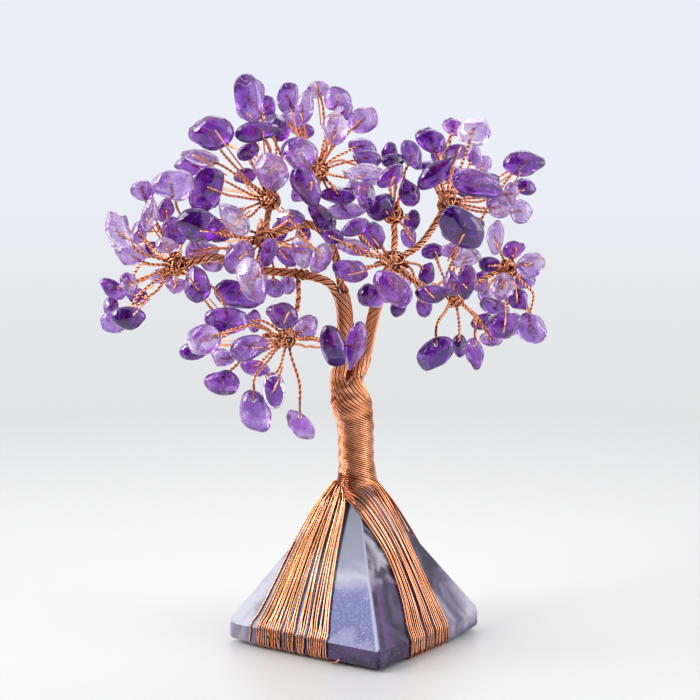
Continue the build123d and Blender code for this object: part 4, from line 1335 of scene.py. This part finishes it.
class ORNAMENT_OT_twigs(bpy.types.Operator):
    """Twist the twigs from pairs of wire and gather them in the knots"""

    bl_idname = "ornament.twigs"
    bl_label = "Twigs"

    def execute(self, context):
        sizes = context.scene.wire_sizes
        half = sizes.thickness / 2 * MM
        dice = random.Random(11)
        balls = knot_balls()
        for spray in SPRAYS:
            ways = [self.rooted(*twig, dice) for twig in twig_ways(spray, balls[spray])]
            for name in PENDANTS:
                top = HINGES[f"{name}_chip"] + EYE_RISE
                middle, radius = min(
                    (ball for group in balls.values() for ball in group), key=lambda ball: (ball[0] - top).length
                )
                if (middle, radius) in balls[spray]:
                    above = top + Vector((0, 0, 2 * MM))
                    foot = middle + (above - middle).normalized() * radius
                    ways.append(self.rooted([foot, above, top], middle, radius, dice))
            lines, middles = [], []
            for line in smooth_lines(ways, sizes.pair_pitch * MM / 7):
                middles += line
                pitch = sizes.pair_pitch * MM * dice.uniform(0.85, 1.2)
                lines += strands(line, 2, half, pitch, 1, dice.uniform(0, 6))
                if dice.random() < COLLAR_SHARE:
                    # Another wire's end is wound round the twig where it leaves the knot
                    start = len(line) // 5
                    collar = line[start:start + dice.randint(5, 9)]
                    if len(collar) > 2:
                        collar = evenly(collar, COLLAR_STEP)
                        lines += strands(collar, 1, half * 2.9, 0.6 * MM, -1, dice.uniform(0, 6))
            curls = []
            for middle, radius in balls[spray]:
                curls += [self.curl(middle, radius, dice) for _ in range(sizes.knot_curls)]
            lines += smooth_lines(curls, CURL_STEP)
            for name in PENDANTS:
                hole = HINGES[f"{name}_chip"]
                if min((ball[0] - hole).length for ball in balls[spray]) < EYE_REACH:
                    lines += self.eye(hole)
            away = from_middles(middles, balls[spray])
            piece = wires(f"{spray}_twig_wires", lines, half, copper(), away=away)
            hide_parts(f"{spray}_twigs", f"{spray}_knots")
        return {"FINISHED"}

    def rooted(self, way, middle, radius, dice):
        """A twig's way, a little uneven, with a root that curls over its knot."""
        foot = (way[0] - middle).normalized()
        axis = foot.cross(stray(dice)).normalized()
        sweep = dice.uniform(1.4, 3.4)
        root = []
        for step in range(6):
            turn = sweep * (1 - step / 6)
            root.append(middle + (Matrix.Rotation(turn, 3, axis) @ foot) * radius * dice.uniform(0.8, 1.15))
        marks = evenly(way, TWIG_BEND_STEP)
        bow = (way[-1] - way[0]).cross(stray(dice)) * 0.11
        bent = [marks[0]]
        for order, point in enumerate(marks[1:-1], 1):
            arch = math.sin(math.pi * order / (len(marks) - 1))
            bent.append(point + bow * arch + stray(dice, 0.35 * MM))
        return root + bent + [marks[-1]]

    def curl(self, middle, radius, dice):
        """A loose loop of single wire over a knot."""
        side = stray(dice).normalized()
        axis = side.cross(stray(dice)).normalized()
        count = dice.randint(5, 9)
        wide = dice.uniform(1.05, 1.45)
        points = [middle + side * radius * 0.5]
        for step in range(count):
            swell = wide if 0 < step < count - 1 else 0.9
            tilt = axis * dice.uniform(-0.35, 0.35)
            points.append(middle + ((Matrix.Rotation(0.75 * step, 3, axis) @ side) * swell + tilt) * radius)
        return points

    def eye(self, hole):
        """The open eye of single wire that a pendant hangs on."""
        top = hole + EYE_RISE
        side = Vector((0, 2.9 * MM, 0))
        shoulder = Vector((0, 0, 3.2 * MM))
        ring = [
            top, top - side * 0.3, hole - side + shoulder, hole - side * 0.9, hole, hole + side * 0.9,
            hole + side + shoulder, top + side * 0.3, top,
        ]
        return smooth_lines([ring], EYE_STEP)


class ORNAMENT_OT_stones(bpy.types.Operator):
    """Put the tumbled stones on their twigs"""

    bl_idname = "ornament.stones"
    bl_label = "Amethyst Chips"

    def execute(self, context):
        dice = random.Random(23)
        half = context.scene.wire_sizes.thickness / 2 * MM
        forms = [stone_form(number) for number in range(len(STONE_FORMS))]
        balls = knot_balls()
        for spray in SPRAYS:
            twigs = [way for way, _, _ in twig_ways(spray, balls[spray])]
            loops = []
            for tone in TONES:
                node = f"{spray}_{tone}_chips"
                if node not in frame["nodes"]:
                    continue
                chips = [chip_frame(*part) for part in loose_parts(node)]
                piece = stones(
                    f"{spray}_{tone}_stones", chips, forms, amethyst(tone), "tree", dice, twigs,
                    loops,
                )
                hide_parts(node)
            wires(f"{spray}_chip_loops", smooth_lines(loops, LOOP_STEP), half * 0.95, copper())
        for name, (tone, number) in PENDANTS.items():
            chips = [chip_frame(*part) for part in loose_parts(name)]
            body = f"{name}_chip"
            piece = stones(
                f"{name}_stone", chips, [forms[number]], amethyst(tone), body, dice,
                hole=HINGES[body],
            )
            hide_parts(name)
        for form in forms:
            bpy.data.objects.remove(form)
        return {"FINISHED"}


class ORNAMENT_PT_panel(bpy.types.Panel):
    """The ornament's pieces, in the sidebar"""

    bl_idname = "ORNAMENT_PT_panel"
    bl_label = "Gemstone Tree"
    bl_space_type = "VIEW_3D"
    bl_region_type = "UI"
    bl_category = "Ornament"

    def draw(self, context):
        layout = self.layout
        for group in (context.scene.wire_sizes, context.scene.stone_looks, context.scene.stage_looks):
            box = layout.box()
            for name in group.__annotations__:
                box.prop(group, name)
        for operator in OPERATORS:
            layout.operator(operator.bl_idname)


OPERATORS = [
    ORNAMENT_OT_stage, ORNAMENT_OT_pyramid, ORNAMENT_OT_trunk, ORNAMENT_OT_skirts, ORNAMENT_OT_limbs,
    ORNAMENT_OT_twigs, ORNAMENT_OT_stones,
]
CLASSES = [WireSizes, StoneLooks, StageLooks, *OPERATORS, ORNAMENT_PT_panel]


def register():
    for each in CLASSES:
        bpy.utils.register_class(each)
    bpy.types.Scene.wire_sizes = bpy.props.PointerProperty(type=WireSizes)
    bpy.types.Scene.stone_looks = bpy.props.PointerProperty(type=StoneLooks)
    bpy.types.Scene.stage_looks = bpy.props.PointerProperty(type=StageLooks)


def unregister():
    del bpy.types.Scene.wire_sizes
    del bpy.types.Scene.stone_looks
    del bpy.types.Scene.stage_looks
    for each in reversed(CLASSES):
        bpy.utils.unregister_class(each)


def main():
    register()
    bpy.ops.ornament.stage()
    bpy.ops.ornament.pyramid()
    bpy.ops.ornament.trunk()
    bpy.ops.ornament.skirts()
    bpy.ops.ornament.limbs()
    bpy.ops.ornament.twigs()
    bpy.ops.ornament.stones()


if __name__ == "__main__":
    main()
